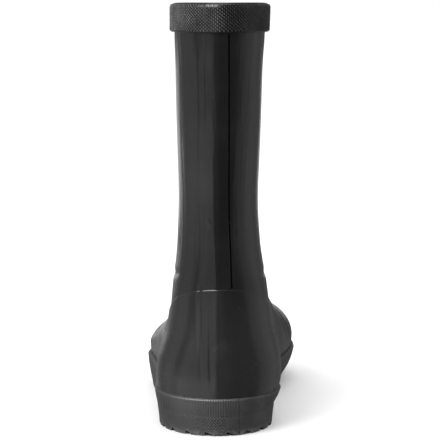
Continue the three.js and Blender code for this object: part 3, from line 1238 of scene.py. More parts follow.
@dataclass(frozen=True)
class PaintedSeamShadow:
    """Painted shadow: a black strip beside the stay that stands for the shade in its seam."""

    name: str = "seam_painted_shadow"
    black: Colour = (0.001, 0.001, 0.001)
    specular: float = 0.02
    roughness: float = 0.7
    patch_scale: float = 500.0
    rough_patches: float = 0.2
    grain_scale: float = 700.0
    grain_height: float = 0.0002

    def build(self) -> bpy.types.Material:
        """Make the material.

        Returns:
            The material.
        """
        graph = Graph(self.name)
        rough = self.roughness + graph.noise(self.patch_scale) * self.rough_patches
        normal = graph.bump(graph.noise(self.grain_scale), self.grain_height)
        return graph.finish(Base_Color=self.black, Roughness=rough, Normal=normal,
                            Specular_IOR_Level=self.specular)


class Unit(Enum):
    """Shape that a repeater sets down."""

    BEAD = "bead"
    BLOCK = "block"


@dataclass(frozen=True)
class Repeater:
    """Geometry Nodes that set one small shape on each point of a mesh.

    Args:
        name: Name of the tree.
        unit: The shape.
        size: Its size along the point's side, along its way, and out, in metres.
        spread: How much a shape's size may vary, as a share.
        seed: Seed of that variation.
        segments: Sides of a bead.
        rings: Rings of a bead.
    """

    name: str
    unit: Unit
    size: tuple[float, float, float]
    spread: float = 0.0
    seed: int = 7
    segments: int = 8
    rings: int = 5

    def tree(self) -> bpy.types.NodeTree:
        """Build the tree.

        Returns:
            The tree.
        """
        tree = bpy.data.node_groups.new(self.name, "GeometryNodeTree")
        for name, kind in (("Geometry", "Geometry"), ("Unit Size", "Vector"), ("Spread", "Float"),
                           ("Seed", "Int"), ("Finish", "Material")):
            tree.interface.new_socket(name, in_out="INPUT", socket_type="NodeSocket" + kind)
        tree.interface.new_socket("Geometry", in_out="OUTPUT", socket_type="NodeSocketGeometry")
        nodes = Nodes(tree)
        start = nodes.add("NodeGroupInput").outputs
        if self.unit is Unit.BEAD:
            shape = nodes.add("GeometryNodeMeshUVSphere", {}, {
                "Segments": self.segments, "Rings": self.rings, "Radius": 0.5})
        else:
            shape = nodes.add("GeometryNodeMeshCube")
        outward, way = (nodes.add("GeometryNodeInputNamedAttribute", {
            "data_type": "FLOAT_VECTOR"}, {"Name": name}) for name in ("outward", "way"))
        stand = nodes.add("FunctionNodeAlignRotationToVector", {"axis": "Z"},
                          {"Vector": outward.outputs["Attribute"]})
        turn = nodes.add("FunctionNodeAlignRotationToVector", {"axis": "Y", "pivot_axis": "Z"}, {
            "Rotation": stand.outputs["Rotation"], "Vector": way.outputs["Attribute"]})
        lowest = nodes.add("ShaderNodeMath", {"operation": "SUBTRACT"}, {
            0: 1.0, 1: start["Spread"]})
        vary = nodes.add("FunctionNodeRandomValue", {"data_type": "FLOAT"}, {
            2: lowest.outputs[0], 3: 1.0, "Seed": start["Seed"]})
        scale = nodes.add("ShaderNodeVectorMath", {"operation": "SCALE"}, {
            0: start["Unit Size"], "Scale": vary.outputs[1]})
        place = nodes.add("GeometryNodeInstanceOnPoints", {}, {
            "Points": start["Geometry"], "Instance": shape.outputs["Mesh"],
            "Rotation": turn.outputs["Rotation"], "Scale": scale.outputs["Vector"]})
        real = nodes.add("GeometryNodeRealizeInstances", {}, {
            "Geometry": place.outputs["Instances"]})
        smooth = nodes.add("GeometryNodeSetShadeSmooth", {}, {
            "Shade Smooth": self.unit is Unit.BEAD, "Geometry": real.outputs["Geometry"]})
        dress = nodes.add("GeometryNodeSetMaterial", {}, {
            "Geometry": smooth.outputs["Geometry"], "Material": start["Finish"]})
        nodes.add("NodeGroupOutput", {}, {"Geometry": dress.outputs["Geometry"]})
        return tree

    def set_down(self, name: str, points: Array, outward: Array, way: Array,
                 finish: Optional[bpy.types.Material] = None) -> bpy.types.Object:
        """Make the repeated shapes as one plain mesh.

        Args:
            name: Name of the new object.
            points: Places in metres.
            outward: Direction that each shape stands in.
            way: Direction of each shape's length.
            finish: Material of the shapes.

        Returns:
            The new object.
        """
        made = make_object(name, points, [])
        for key, vectors in (("outward", outward), ("way", way)):
            layer = made.data.attributes.new(key, "FLOAT_VECTOR", "POINT")
            layer.data.foreach_set("vector", np.ascontiguousarray(vectors, dtype=np.float32).ravel())
        modifier = made.modifiers.new(self.name, "NODES")
        modifier.node_group = self.tree()
        values = {"Unit Size": self.size, "Spread": self.spread, "Seed": self.seed,
                  "Finish": finish}
        for item in modifier.node_group.interface.items_tree:
            if item.in_out == "INPUT" and item.name in values and values[item.name] is not None:
                modifier[item.identifier] = values[item.name]
        return plain_mesh(made)


@dataclass
class Boot:
    """What every sub-assembly of the boot shares."""

    form: BootForm
    place: Place
    finishes: dict[str, bpy.types.Material]

    def dress(self, made: bpy.types.Object, finish: str, slot: str,
              *nodes: str) -> bpy.types.Object:
        """Give a piece its finish and its body, and hide the nodes that it stands for.

        Args:
            made: The piece.
            finish: Key of its finish.
            slot: Not used.
            nodes: Nodes that it replaces.

        Returns:
            The piece.
        """
        if not made.data.materials:
            made.data.materials.append(self.finishes[finish])
        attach(made, "root")
        if nodes:
            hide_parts(*nodes)
        LOG.info("%s: %d faces, stands for %s", made.name, len(made.data.polygons),
                 ", ".join(nodes) or "no node")
        return made


@dataclass
class Upper:
    """The hollow wall of foot and shaft, with its creases and its lining."""

    boot: Boot
    around: int = 288
    rows: int = 250
    inner_rows: int = 70
    rim_drop: float = 2.4

    def heights(self, rows: int) -> Array:
        """Heights of the wall's rings, close together over the flat of the foot.

        Args:
            rows: Number of rings.

        Returns:
            A height for each ring and turn.
        """
        form = self.boot.form
        rim = form.boot_height - self.rim_drop
        shares = []
        for profile, low in ((form.back, form.sole_thickness),
                             (form.front, form.sole_thickness + form.toe_spring)):
            z = np.linspace(low, form.boot_height, form.samples)
            length = np.concatenate([[0.0], np.cumsum(np.hypot(np.diff(profile(z)), np.diff(z)))])
            even = np.interp(np.linspace(0.0, length[-1], rows), length, z)
            shares.append((even - low) / (form.boot_height - low))
        turn = turns(self.around)
        along = (1.0 - np.cos(2.0 * np.pi * turn)) / 2.0
        share = mix(shares[0][:, None], shares[1][:, None], along[None, :])
        return mix(form.feather(turn)[None, :], rim, share)

    def build(self) -> bpy.types.Object:
        """Make the wall and its lining.

        Returns:
            The finished piece.
        """
        form = self.boot.form
        turn = turns(self.around)[None, :]
        outer = form.surface(turn, self.heights(self.rows))
        inner_heights = self.heights(self.inner_rows)
        inner = form.surface(turn, inner_heights, -form.wall)
        inner[0, :, 2] = inner_heights[0]
        inner[-1, :, 2] = inner_heights[-1]
        points = np.concatenate([outer, inner[::-1]])
        faces = skin_faces(len(points), self.around, True)
        made = make_object("upper_wall", self.boot.place(points), faces)
        made.data.materials.append(self.boot.finishes["gloss"])
        made.data.materials.append(self.boot.finishes["lining"])
        lining = np.zeros(len(made.data.polygons), dtype=np.int32)
        lining[self.rows * self.around:] = 1
        made.data.polygons.foreach_set("material_index", lining)
        return self.boot.dress(made, "gloss", "gloss_rubber", "upper")


@dataclass
class CollarBand:
    """The thick band around the collar, with its rows of beads."""

    boot: Boot
    rounding: float = 3.2
    foot_rounding: float = 0.8
    lip: float = 1.0
    folded_under: float = 1.2
    sunk: float = 0.15
    bead_columns: int = 262
    bead_rows: int = 8
    bead_size: tuple[float, float, float] = (0.82, 1.75, 1.2)
    bead_margin: float = 0.3
    bead_drop: float = 1.0
    bead_start: float = 0.25
    bead_stagger: float = 0.5
    bead_slant: float = 0.35
    bead_spread: float = 0.18
    path_samples: int = 2001
    corner_points: int = 7
    face_points: int = 12
    around: int = 360

    def section(self) -> Array:
        """The band's section: out from the wall, and up.

        Returns:
            Points of the closed section.
        """
        form = self.boot.form
        outer, inner = form.gap + form.band_thickness, -form.wall
        low, top = form.boot_height - form.band_height, form.boot_height
        under = top - form.band_thickness - self.folded_under
        quarter = np.linspace(0.0, np.pi / 2.0, self.corner_points)
        foot = [(outer - self.foot_rounding * (1 - math.sin(a)),
                 low + self.foot_rounding * (1 - math.cos(a))) for a in quarter]
        face = [(outer, z) for z in np.linspace(low + self.foot_rounding, top - self.rounding,
                                                self.face_points)[1:-1]]
        shoulder = [(outer - self.rounding * (1 - math.cos(a)),
                     top - self.rounding * (1 - math.sin(a))) for a in quarter]
        inside = [(inner + self.lip * (1 - math.sin(a)), top - self.lip * (1 - math.cos(a)))
                  for a in quarter]
        return np.array([(-self.sunk, low), *foot, *face, *shoulder, *inside,
                         (inner, under), (-self.sunk, under)])

    def build(self) -> list[bpy.types.Object]:
        """Make the band and its beads.

        Returns:
            The band and its beads.
        """
        form, place = self.boot.form, self.boot.place
        turn = turns(self.around)[None, :]
        section = self.section()
        offset, z = section[:, 0][:, None], section[:, 1][:, None]
        rings = form.surface(turn, z + 0.0 * turn, offset + 0.0 * turn)
        rings[..., 2] = z
        band = make_object("collar_band_body", place(rings),
                           skin_faces(len(rings), self.around, True), 50.0)
        self.boot.dress(band, "band", "band_rubber", "collar_band")
        beads = self.beads()
        self.boot.dress(beads, "band", "band_rubber")
        return [band, beads]

    def beads(self) -> bpy.types.Object:
        """Rows of beads, every second column half a pitch lower, slanting down to the right.

        Returns:
            All beads as one object.
        """
        form, place = self.boot.form, self.boot.place
        samples = np.linspace(0.0, 1.0, self.path_samples)
        level = form.boot_height - form.band_height / 2.0
        path = form.surface(samples, level + 0.0 * samples, form.band_thickness)
        length = np.concatenate([[0.0], np.cumsum(np.linalg.norm(np.diff(path, axis=0), axis=1))])
        columns = np.arange(self.bead_columns)
        turn = np.interp(columns / self.bead_columns * length[-1], length, samples)
        low = form.boot_height - form.band_height + self.bead_margin + self.foot_rounding
        high = form.boot_height - self.bead_drop
        pitch = (high - low) / self.bead_rows
        rows = np.arange(self.bead_rows)
        drop = self.bead_start + self.bead_stagger * (columns % 2)
        z = low + pitch * (rows[None, :] + drop[:, None])
        turn = np.repeat(turn[:, None], self.bead_rows, axis=1)
        outward = form.normal(turn, z)
        over = np.clip(z - form.boot_height + self.rounding, 0.0, self.rounding)
        sunk = self.rounding - np.sqrt(self.rounding ** 2 - over ** 2)
        centre = form.surface(turn, z, form.gap + form.band_thickness - sunk)
        upright = np.array((0.0, 0.0, 1.0))
        way = upright - self.bead_slant * np.cross(upright, outward)
        repeater = Repeater("bead_rows", Unit.BEAD, tuple(side * MM for side in self.bead_size),
                            spread=self.bead_spread)
        return repeater.set_down("collar_band_beads", place(centre).reshape(-1, 3),
                                 outward.reshape(-1, 3), way.reshape(-1, 3),
                                 self.boot.finishes["bead"])


@dataclass
class BackStay:
    """The strip up the back of the shaft, and a black strip on its inner side painted as the shadow
    in the seam.
    """

    boot: Boot
    width: float = 9.6
    low: float = 87.7
    high: float = 240.1
    rows: int = 260
    columns: int = 25
    seam_width: float = 1.0
    flattening: float = 0.85
    thin_share: float = 0.2
    lean: float = 0.34
    middle_height: float = 0.35
    blunt_share: float = 0.1
    least: float = 0.02
    seam_height: float = 0.05
    seam_lap: float = 0.05
    seam_columns: int = 4
    search: float = 0.16
    search_samples: int = 641

    def turn_at(self, x: Array, z: Array) -> Array:
        """Turn near the back where the form has a given x.

        Args:
            x: Rows of places across, from the stay's middle line.
            z: Height of each row.

        Returns:
            The turn of each place.
        """
        form = self.boot.form
        samples = np.linspace(-self.search, self.search, self.search_samples)
        middle = form.stay_shift * STAY_LINE["shift"]((z - self.low) / (self.high - self.low))
        result = np.empty((len(z), len(x)))
        for row, height in enumerate(z):
            across = form.point(samples % 1.0, np.full_like(samples, height))[:, 0]
            result[row] = np.interp(x + middle[row], across, samples)
        return result

    def strip(self, name: str, left: float, right: float, profile: Callable[[Array], Array],
              columns: int) -> bpy.types.Object:
        """A strip between two lines up the back.

        Args:
            name: Name of the strip.
            left: Its left edge, from the heel's middle.
            right: Its right edge.
            profile: How far it stands out, over -1 to 1 across it.
            columns: Number of points across.

        Returns:
            The new object.
        """
        form, place = self.boot.form, self.boot.place
        share = np.sin(np.linspace(-np.pi / 2, np.pi / 2, columns))
        x = mix(left, right, (share + 1.0) / 2.0)
        z = np.linspace(self.low, self.high, self.rows)
        turn = self.turn_at(x, z)
        height = z[:, None] + 0.0 * turn
        outer = form.surface(turn, height, profile(share)[None, :] + 0.0 * turn)
        inner = form.surface(turn, height, -SUNK + 0.0 * turn)
        return sheet_object(name, place(outer), place(inner), 45.0)

    def profile(self, share: Array) -> Array:
        """Height of the strip over the wall: drawn out thin on its outer side, flat across.

        Args:
            share: Places across, from -1 on the outer side to 1 at the seam.

        Returns:
            How far the strip stands out there.
        """
        flat = self.middle_height + self.flattening * share * share - self.lean * share
        thin = ease((share + 1.0) / self.thin_share)
        blunt = 1.0 - np.clip((share - 1.0) / self.blunt_share + 1.0, 0.0, 1.0) ** 3
        return flat * thin * blunt + self.least

    def build(self) -> list[bpy.types.Object]:
        """Make the strip and the black strip of painted seam shadow.

        Returns:
            The strip and the black strip of painted seam shadow.
        """
        half = self.width / 2.0
        stay = self.strip("back_stay_strip", -half, half, self.profile, self.columns)
        self.boot.dress(stay, "gloss", "gloss_rubber", "back_stay")
        # Painted shadow: a black strip along the stay's inner edge stands for the shade in the seam.
        seam = self.strip("stay_seam_shadow", half - self.seam_lap, half + self.seam_width,
                          lambda share: self.seam_height + 0.0 * share, self.seam_columns)
        self.boot.dress(seam, "seam_shadow", "gloss_rubber")
        return [stay, seam]


@dataclass
class HeelCounter:
    """The second layer around the heel, with its raised edge."""

    boot: Boot
    thickness: float = 0.7
    height: float = 87.4
    reach: float = 92.0
    foot: float = 22.9
    columns: int = 241
    rows: int = 90
    first_handle: tuple[float, float] = (0.86, 0.4)
    second_handle: tuple[float, float] = (0.55, 0.86)
    curve_samples: int = 200
    turn_halvings: int = 30
    height_halvings: int = 34
    search_over: float = 4.0
    least_height: float = 0.05
    crowding: float = 1.6
    edge_round: float = 0.9
    least: float = 0.02

    def top_curve(self) -> tuple[Array, Array]:
        """The counter's upper edge from the side: places along and heights.

        Returns:
            Places along the foot, and the height at each.
        """
        form = self.boot.form
        rise = self.height - self.foot
        start = np.array((self.reach, self.foot))
        first, second = (np.array((self.reach * along, self.foot + rise * up))
                         for along, up in (self.first_handle, self.second_handle))
        end = np.array((float(form.back(np.array(self.height))), self.height))
        t = np.linspace(0.0, 1.0, self.curve_samples)[:, None]
        curve = ((1 - t) ** 3 * start + 3 * (1 - t) ** 2 * t * first
                 + 3 * (1 - t) * t * t * second + t ** 3 * end)
        return curve[:, 0], curve[:, 1]

    def build(self) -> bpy.types.Object:
        """Make the layer.

        Returns:
            The finished piece.
        """
        form, place = self.boot.form, self.boot.place
        along, rise = self.top_curve()
        low, high = np.zeros(1), np.full(1, 0.5)
        for _ in range(self.turn_halvings):
            middle = (low + high) / 2.0
            before = form.point(middle, np.array([self.foot]))[..., 1] < self.reach
            low, high = np.where(before, middle, low), np.where(before, high, middle)
        share = np.linspace(-1.0, 1.0, self.columns)
        turn = share * low[0]
        bottom = np.full(self.columns, self.foot)
        below, above = bottom.copy(), np.full(self.columns, self.height + self.search_over)
        for _ in range(self.height_halvings):
            middle = (below + above) / 2.0
            y = form.point(turn, middle)[:, 1]
            inside = middle < np.interp(y, along[::-1], rise[::-1])
            below, above = np.where(inside, middle, below), np.where(inside, above, middle)
        top = np.maximum(below, bottom + self.least_height)
        steps = 1.0 - (1.0 - np.linspace(0.0, 1.0, self.rows)) ** self.crowding
        z = mix(bottom[None, :], top[None, :], steps[:, None])
        round_off = np.clip((top[None, :] - z) / self.edge_round, 0.0, 1.0)
        offset = self.thickness * np.sqrt(1.0 - (1.0 - round_off) ** 2) + self.least
        turn_grid = np.broadcast_to(turn[None, :], z.shape)
        outer = form.surface(turn_grid, z, offset)
        inner = form.surface(turn_grid, z, -SUNK + 0.0 * z)
        made = sheet_object("heel_counter_layer", place(outer), place(inner), 50.0)
        return self.boot.dress(made, "counter", "gloss_rubber", "heel_counter")


@dataclass
class Foxing:
    """The strip around the foot that closes the line over the outsole."""

    boot: Boot
    thickness: float = 1.6
    height: float = 10.4
    bumper: float = 3.0
    bead: float = 0.22
    bead_rise: float = 0.87
    bead_half: float = 0.07
    bulge: float = 0.25
    shoulder: float = 0.86
    shoulder_share: float = 0.8
    shoulder_power: float = 2.5
    foot_drop: float = 0.9
    side_points: int = 9
    shoulder_points: int = 6
    around: int = 480

    def build(self) -> bpy.types.Object:
        """Make the strip.

        Returns:
            The finished piece.
        """
        form, place = self.boot.form, self.boot.place
        turn = turns(self.around)
        top = self.height + self.bumper * form.spring(form.foot_place(turn)) / form.toe_spring
        quarter = np.linspace(0.0, np.pi / 2, self.shoulder_points)[1:]
        above = 1.0 - self.shoulder
        rises = np.concatenate([np.linspace(0.0, self.shoulder, self.side_points),
                                1.0 - above * (1 - np.sin(quarter))])
        bulge = self.bulge * np.sin(np.pi * rises)
        bulge += self.bead * np.exp(-(((rises - self.bead_rise) / self.bead_half) ** 2))
        close = np.clip((rises - self.shoulder) / above, 0.0, 1.0) ** self.shoulder_power
        outer = form.gap + self.thickness * (1.0 - self.shoulder_share * close) + bulge
        offsets = np.concatenate([outer, [-SUNK, -SUNK]])
        shares = np.concatenate([rises, [1.0, 0.0]])
        foot = form.feather(turn) - form.gap * self.foot_drop
        z = foot[None, :] + top[None, :] * shares[:, None]
        grid = np.broadcast_to(turn[None, :], z.shape)
        rings = form.point(grid, z) + form.normal(grid, z) * offsets[:, None, None]
        rings[..., 2] = z
        made = make_object("foxing_strip", place(rings),
                           skin_faces(len(rings), self.around, True), 50.0)
        return self.boot.dress(made, "foxing", "sole_rubber", "foxing")


@dataclass
class Outsole:
    """Tread, heel, arch and toe spring in one moulding, with its notches and grooves."""

    boot: Boot
    face: float = 1.65
    tread_inset: float = 0.6
    edge_swell: float = 0.12
    inner_undercut: float = 8.0
    outer_undercut: float = 1.5
    lug_height: float = 4.2
    notch_width: float = 4.4
    notch_depth: float = 4.5
    notch_height: float = 1.7
    notch_pitch: float = 13.0
    notch_slant: float = 0.45
    notch_tilt: float = 0.4
    groove_width: float = 4.0
    first_groove: float = 22.0
    groove_pitch: float = 15.0
    groove_drop: float = 8.0
    groove_margin: float = 12.0
    path_samples: int = 1001
    sharp: float = 32.0
    rises: tuple[float, ...] = (0.0, 0.05, 0.2, 0.34, 0.45, 0.55, 0.62, 0.7, 0.78, 0.86, 0.91,
                                0.94, 0.965, 1.0)
    around: int = 480

    def ring(self, rise: float) -> Array:
        """One ring of the outsole's side.

        Args:
            rise: Share of the way from the floor to the top.

        Returns:
            The ring's points.
        """
        form = self.boot.form
        turn = turns(self.around)
        place = form.foot_place(turn)
        along = place / form.sole_length
        inner = PLAN["inner"]
        ball = np.clip((inner(along) - inner(0.0)) / (inner(1.0) - inner(0.0)), 0.0, 1.0)
        undercut = np.where(turn < 0.5, self.inner_undercut, self.outer_undercut)
        inset = self.tread_inset + undercut * ball
        spread = (self.face * SOLE_EDGE["face"](rise) + self.edge_swell * SOLE_EDGE["swell"](rise)
                  - inset * SOLE_EDGE["inset"](rise))
        ring = form.outline(turn, spread)
        bottom = form.spring(place) + form.arch(place)
        ring[:, 2] = mix(bottom, form.sole_top(place), rise)
        return ring

    def block(self) -> bpy.types.Object:
        """The outsole before it is cut.

        Returns:
            The uncut block.
        """
        rings = np.stack([self.ring(rise) for rise in self.rises])
        top = (len(self.rises) - 1) * self.around
        faces = skin_faces(len(self.rises), self.around, False)
        faces += lid_faces(0, self.around, False) + lid_faces(top, self.around, True)
        return make_object("outsole_body", self.boot.place(rings), faces, 35.0)

    def notches(self) -> bpy.types.Object:
        """Slanted blocks along the outline that cut the tread's edge.

        Returns:
            The cutting blocks as one object.
        """
        form, place = self.boot.form, self.boot.place
        samples = np.linspace(0.0, 1.0, self.path_samples)
        path = form.outline(samples, 0.0)
        length = np.concatenate([[0.0], np.cumsum(np.linalg.norm(np.diff(path, axis=0), axis=1))])
        count = round(length[-1] / self.notch_pitch)
        turn = np.interp((np.arange(count) + 0.5) / count * length[-1], length, samples)
        turn = turn[form.arch(form.foot_place(turn)) < self.lug_height / 4.0]
        centre = form.outline(turn, 0.0)
        level = form.normal(turn, form.feather(turn))
        angle = np.arctan2(level[:, 1], level[:, 0]) + self.notch_slant
        way = np.stack([np.cos(angle), np.sin(angle), np.zeros_like(angle)], axis=-1)
        centre[:, 2] = form.spring(centre[:, 1]) + form.arch(centre[:, 1])
        up = np.stack([-np.sin(angle) * self.notch_tilt, np.cos(angle) * self.notch_tilt,
                       np.ones_like(angle)], axis=-1)
        size = (self.notch_width, 2.0 * self.notch_depth, 2.0 * self.notch_height)
        repeater = Repeater("edge_notches", Unit.BLOCK, tuple(side * MM for side in size))
        return repeater.set_down("edge_notch_cutters", place(centre), up, way)

    def grooves(self) -> bpy.types.Object:
        """Wide V bars that cut the tread across.

        Returns:
            The cutting bars as one object.
        """
        form, place = self.boot.form, self.boot.place
        heel = np.arange(self.first_groove, form.heel_reach - self.groove_margin + 1e-6,
                         self.groove_pitch)
        foot = np.arange(form.arch_end, form.sole_length - 2 * self.groove_margin
                         - self.groove_drop + 1e-6, self.groove_pitch)
        points, faces = [], []
        for y in np.concatenate([heel, foot]):
            turn = math.acos(1.0 - 2.0 * y / form.sole_length) / (2.0 * math.pi)
            right, left = form.outline(np.array([turn, 1.0 - turn]), -self.groove_margin)[:, 0]
            middle = (left + right) / 2.0
            drop, width = self.groove_drop, self.groove_width
            outline = ((middle, y), (right, y + drop), (right, y + drop + width),
                       (middle, y + width), (left, y + drop + width), (left, y + drop))
            floor = float(form.spring(y + drop / 2.0))
            start = len(points)
            count = len(outline)
            for height in (floor - self.lug_height, floor + self.lug_height):
                points += [(x, along, height) for x, along in outline]
            faces.append(tuple(start + number for number in range(count - 1, -1, -1)))
            faces.append(tuple(start + count + number for number in range(count)))
            for number in range(count):
                after = (number + 1) % count
                faces.append((start + number, start + after, start + count + after,
                              start + count + number))
        return make_object("tread_groove_cutters", place(points), faces)

    def build(self) -> bpy.types.Object:
        """Make the outsole.

        Returns:
            The finished piece.
        """
        made = self.block()
        cutters = [self.notches(), self.grooves()]
        for cutter in cutters:
            modifier = made.modifiers.new(cutter.name, "BOOLEAN")
            modifier.operation = "DIFFERENCE"
            modifier.solver = "EXACT"
            modifier.object = cutter
        plain_mesh(made)
        for cutter in cutters:
            bpy.data.objects.remove(cutter)
        made.data.materials.clear()
        made.data.shade_smooth()
        made.data.set_sharp_from_angle(angle=math.radians(self.sharp))
        return self.boot.dress(made, "outsole", "sole_rubber", "outsole")


@dataclass
class Insole:
    """The loose sock on the outsole, dished under the heel."""

    boot: Boot
    thickness: float = 3.5
    clearance: float = 0.35
    around: int = 240
    levels: tuple[tuple[float, float], ...] = (
        (0.0, 0.0), (0.0, 0.75), (-0.4, 0.93), (-1.0, 1.0), (-6.0, 1.0), (-14.0, 0.97))

    def build(self) -> bpy.types.Object:
        """Make the insole.

        Returns:
            The finished piece.
        """
        form, place = self.boot.form, self.boot.place
        turn = turns(self.around)
        rings = []
        for inset, rise in self.levels:
            ring = form.outline(turn, inset - form.wall - self.clearance)
            ring[:, 2] = form.feather(turn) + self.thickness * rise
            rings.append(ring)
        top = (len(self.levels) - 1) * self.around
        faces = skin_faces(len(self.levels), self.around, False)
        faces += lid_faces(0, self.around, False) + lid_faces(top, self.around, True)
        made = make_object("insole_sock", place(np.stack(rings)), faces, 50.0)
        return self.boot.dress(made, "lining", "lining", "insole")


@dataclass(frozen=True)
class Flag:
    """Upright sheet of the studio that only the gloss mirrors.

    Args:
        name: Name of the sheet.
        start: Where it starts, in degrees round the boot from the camera towards +X.
        end: Where it ends.
        radiance: How bright it is, as a share of the white around it.
        low: Height of its lower edge.
        high: Height of its upper edge.
    """

    name: str
    start: float
    end: float
    radiance: float
    low: float = -0.9
    high: float = 2.4


FLAGS = (
    Flag("flag_far_left", -150.0, -121.0, 0.24),
    Flag("wall_left_edge", -121.0, -116.0, 0.52, low=-0.02),
    Flag("wall_left_step", -116.0, -110.0, 0.3, low=-0.02),
    Flag("wall_left_far", -110.0, -96.0, 0.55, low=-0.02),
    Flag("wall_left_gap", -96.0, -81.0, 0.24, low=-0.02),
    Flag("wall_left_near", -81.0, -60.0, 0.62, low=-0.02, high=0.62),
    Flag("wall_left_back", -60.0, -9.0, 0.5, low=-0.02, high=0.62),
    Flag("wall_left_low", -121.0, -90.0, 0.55, high=-0.03),
    Flag("wall_left_heel", -90.0, -9.0, 1.2, low=-0.1, high=-0.03),
    Flag("wall_left_foot", -90.0, -9.0, 0.95, high=-0.105),
    Flag("wall_left_high", -81.0, -14.0, 9.0, low=0.66),
    Flag("flag_camera", -9.0, 14.0, 0.2),
    Flag("flag_near_right", 14.0, 85.0, 0.12),
    Flag("wall_right", 85.0, 135.0, 0.33),
    Flag("flag_far_right", 135.0, 163.0, 0.16),
    Flag("flag_front_right", 163.0, 182.0, 0.05, low=0.16),
    Flag("flag_front_left", 182.0, 210.0, 0.25, low=0.16),
    Flag("flag_low_right", 163.0, 182.0, 0.14, high=-0.01),
    Flag("flag_low_left", 182.0, 210.0, 0.34, high=-0.01),
)


@dataclass(frozen=True)
class Panel:
    """Soft flat light of the studio.

    Args:
        name: Name of the light.
        place: Where it stands.
        target: Where it looks.
        size: Its width, which is its height as well.
        radiance: How bright its face is.
    """

    name: str
    place: Point
    target: Point
    size: float
    radiance: float


PANELS = (
    Panel("key_light", (-1.0, -1.3, 1.9), (0.0, -0.1, 0.15), 0.9, 8.0),
    Panel("overhead", (0.0, 2.0, 4.0), (0.0, 2.0, 0.0), 6.0, 0.6),
)


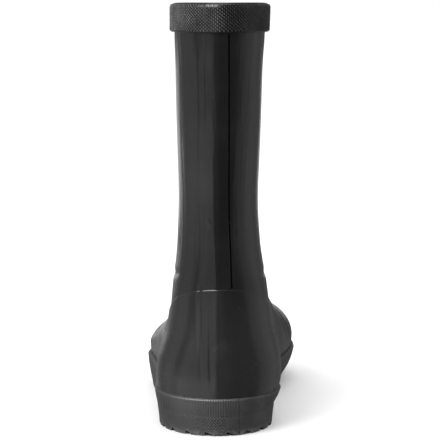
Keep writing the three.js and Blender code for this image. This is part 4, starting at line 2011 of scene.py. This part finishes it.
@dataclass
class Studio:
    """Floor, lights and camera."""

    lens: float = 182.5
    sensor: float = 36.0
    far: float = 200.0
    camera_place: Point = (-0.00129, -1.4428, 0.27565)
    camera_pitch: float = 0.1103
    floor_size: float = 60.0
    floor_colour: Colour = (0.93, 0.93, 0.93)
    floor_roughness: float = 0.9
    flag_radius: float = 1.2
    flag_step: float = 9.0
    circle_count: int = 32
    under_level: float = -0.5
    under_radiance: float = 0.12
    white: float = 1.1

    def floor(self) -> None:
        """A plain pale floor."""
        half = self.floor_size / 2.0
        corners = [(-half, -half, 0.0), (half, -half, 0.0), (half, half, 0.0), (-half, half, 0.0)]
        plane = make_object("floor", np.array(corners), [(0, 1, 2, 3)])
        graph = Graph("floor_paper")
        plane.data.materials.append(graph.finish(Base_Color=self.floor_colour,
                                                 Roughness=self.floor_roughness))
        plane.visible_glossy = False

    def area(self, panel: Panel) -> None:
        """One soft panel of light.

        Args:
            panel: The panel.
        """
        light = bpy.data.lights.new(panel.name, "AREA")
        light.shape = "RECTANGLE"
        light.size = light.size_y = panel.size
        light.energy = panel.radiance * math.pi * panel.size ** 2
        stand = bpy.data.objects.new(panel.name, light)
        stand.location = panel.place
        direction = Vector(panel.target) - Vector(panel.place)
        stand.rotation_euler = direction.to_track_quat("-Z", "Y").to_euler()
        bpy.context.scene.collection.objects.link(stand)

    def ring(self, turn: Array, height: float) -> Array:
        """Points of the ring that the sheets stand on.

        Args:
            turn: Angles from the camera towards +X.
            height: Height of the points.

        Returns:
            The points.
        """
        return np.stack((np.sin(turn) * self.flag_radius, -np.cos(turn) * self.flag_radius,
                         np.full(len(turn), height)), axis=1)

    def flag(self, flag: Flag) -> None:
        """One upright sheet on the ring around the boot.

        Args:
            flag: The sheet.
        """
        count = max(2, math.ceil((flag.end - flag.start) / self.flag_step) + 1)
        turn = np.radians(np.linspace(flag.start, flag.end, count))
        points = np.concatenate((self.ring(turn, flag.low), self.ring(turn, flag.high)))
        faces = [(k, k + 1, count + k + 1, count + k) for k in range(count - 1)]
        self.mirrored(flag.name, points, faces, flag.radiance)

    @staticmethod
    def mirrored(name: str, points: Array, faces: Sequence[Sequence[int]],
                 radiance: float) -> None:
        """A glowing sheet that only the gloss mirrors.

        Args:
            name: Name of the sheet.
            points: Its points.
            faces: Its faces.
            radiance: How bright it is.
        """
        sheet = make_object(name, points, faces)
        graph = Graph(name + "_cloth")
        sheet.data.materials.append(graph.finish(
            Base_Color=(0.0, 0.0, 0.0), Roughness=1.0, Specular_IOR_Level=0.0,
            Emission_Color=(1.0, 1.0, 1.0), Emission_Strength=radiance))
        sheet.visible_camera = False
        sheet.visible_diffuse = False
        sheet.visible_shadow = False

    def world(self) -> None:
        """White air all around."""
        world = bpy.data.worlds.new("studio_air")
        world.use_nodes = True
        background = world.node_tree.nodes["Background"]
        background.inputs["Color"].default_value = (1.0, 1.0, 1.0, 1.0)
        background.inputs["Strength"].default_value = self.white
        bpy.context.scene.world = world
        bpy.context.scene.view_settings.view_transform = "Standard"

    def camera(self) -> None:
        """The camera behind the heel, a little above it."""
        camera = bpy.data.cameras.new("photo_camera")
        camera.lens = self.lens
        camera.sensor_width = self.sensor
        camera.clip_end = self.far
        stand = bpy.data.objects.new("photo_camera", camera)
        stand.location = self.camera_place
        stand.rotation_euler = (math.pi / 2.0 - self.camera_pitch, 0.0, 0.0)
        bpy.context.scene.collection.objects.link(stand)
        bpy.context.scene.camera = stand

    def build(self) -> None:
        """Set up the studio."""
        self.floor()
        for flag in FLAGS:
            self.flag(flag)
        circle = self.ring(turns(self.circle_count) * 2.0 * np.pi, self.under_level)
        self.mirrored("flag_under", circle, [tuple(range(self.circle_count))],
                      self.under_radiance)
        for panel in PANELS:
            self.area(panel)
        self.world()
        self.camera()


def main() -> None:
    """Build the boot's pieces in order, and the studio around them."""
    logging.basicConfig(level=logging.INFO, format="%(name)s %(message)s")
    Studio().build()
    form = BootForm()
    finishes = {
        "gloss": GlossRubber().build(),
        "band": BandRubber().build(),
        # Painted highlight: the beads get a far paler black and pale tone than the band, standing in
        # for the glints on their crowns, with clouds of wear on top.
        "bead": BandRubber(name="bead_painted_highlight", black=(0.018, 0.018, 0.0185),
                           worn_and_lit=(0.1, 0.1, 0.102), roughness=0.16, specular=0.3).build(),
        "counter": GlossRubber(name="counter_rubber", specular=0.62).build(),
        "foxing": SoleRubber(name="foxing_rubber", dotted=0.0).build(),
        "outsole": SoleRubber().build(),
        "lining": KnitLining().build(),
        "seam_shadow": PaintedSeamShadow().build(),
    }
    boot = Boot(form, Place(form), finishes)
    for piece in (Upper(boot), CollarBand(boot), BackStay(boot), HeelCounter(boot),
                  Foxing(boot), Outsole(boot), Insole(boot)):
        piece.build()
        LOG.info("%s is built", type(piece).__name__)


if __name__ == "__main__":
    main()
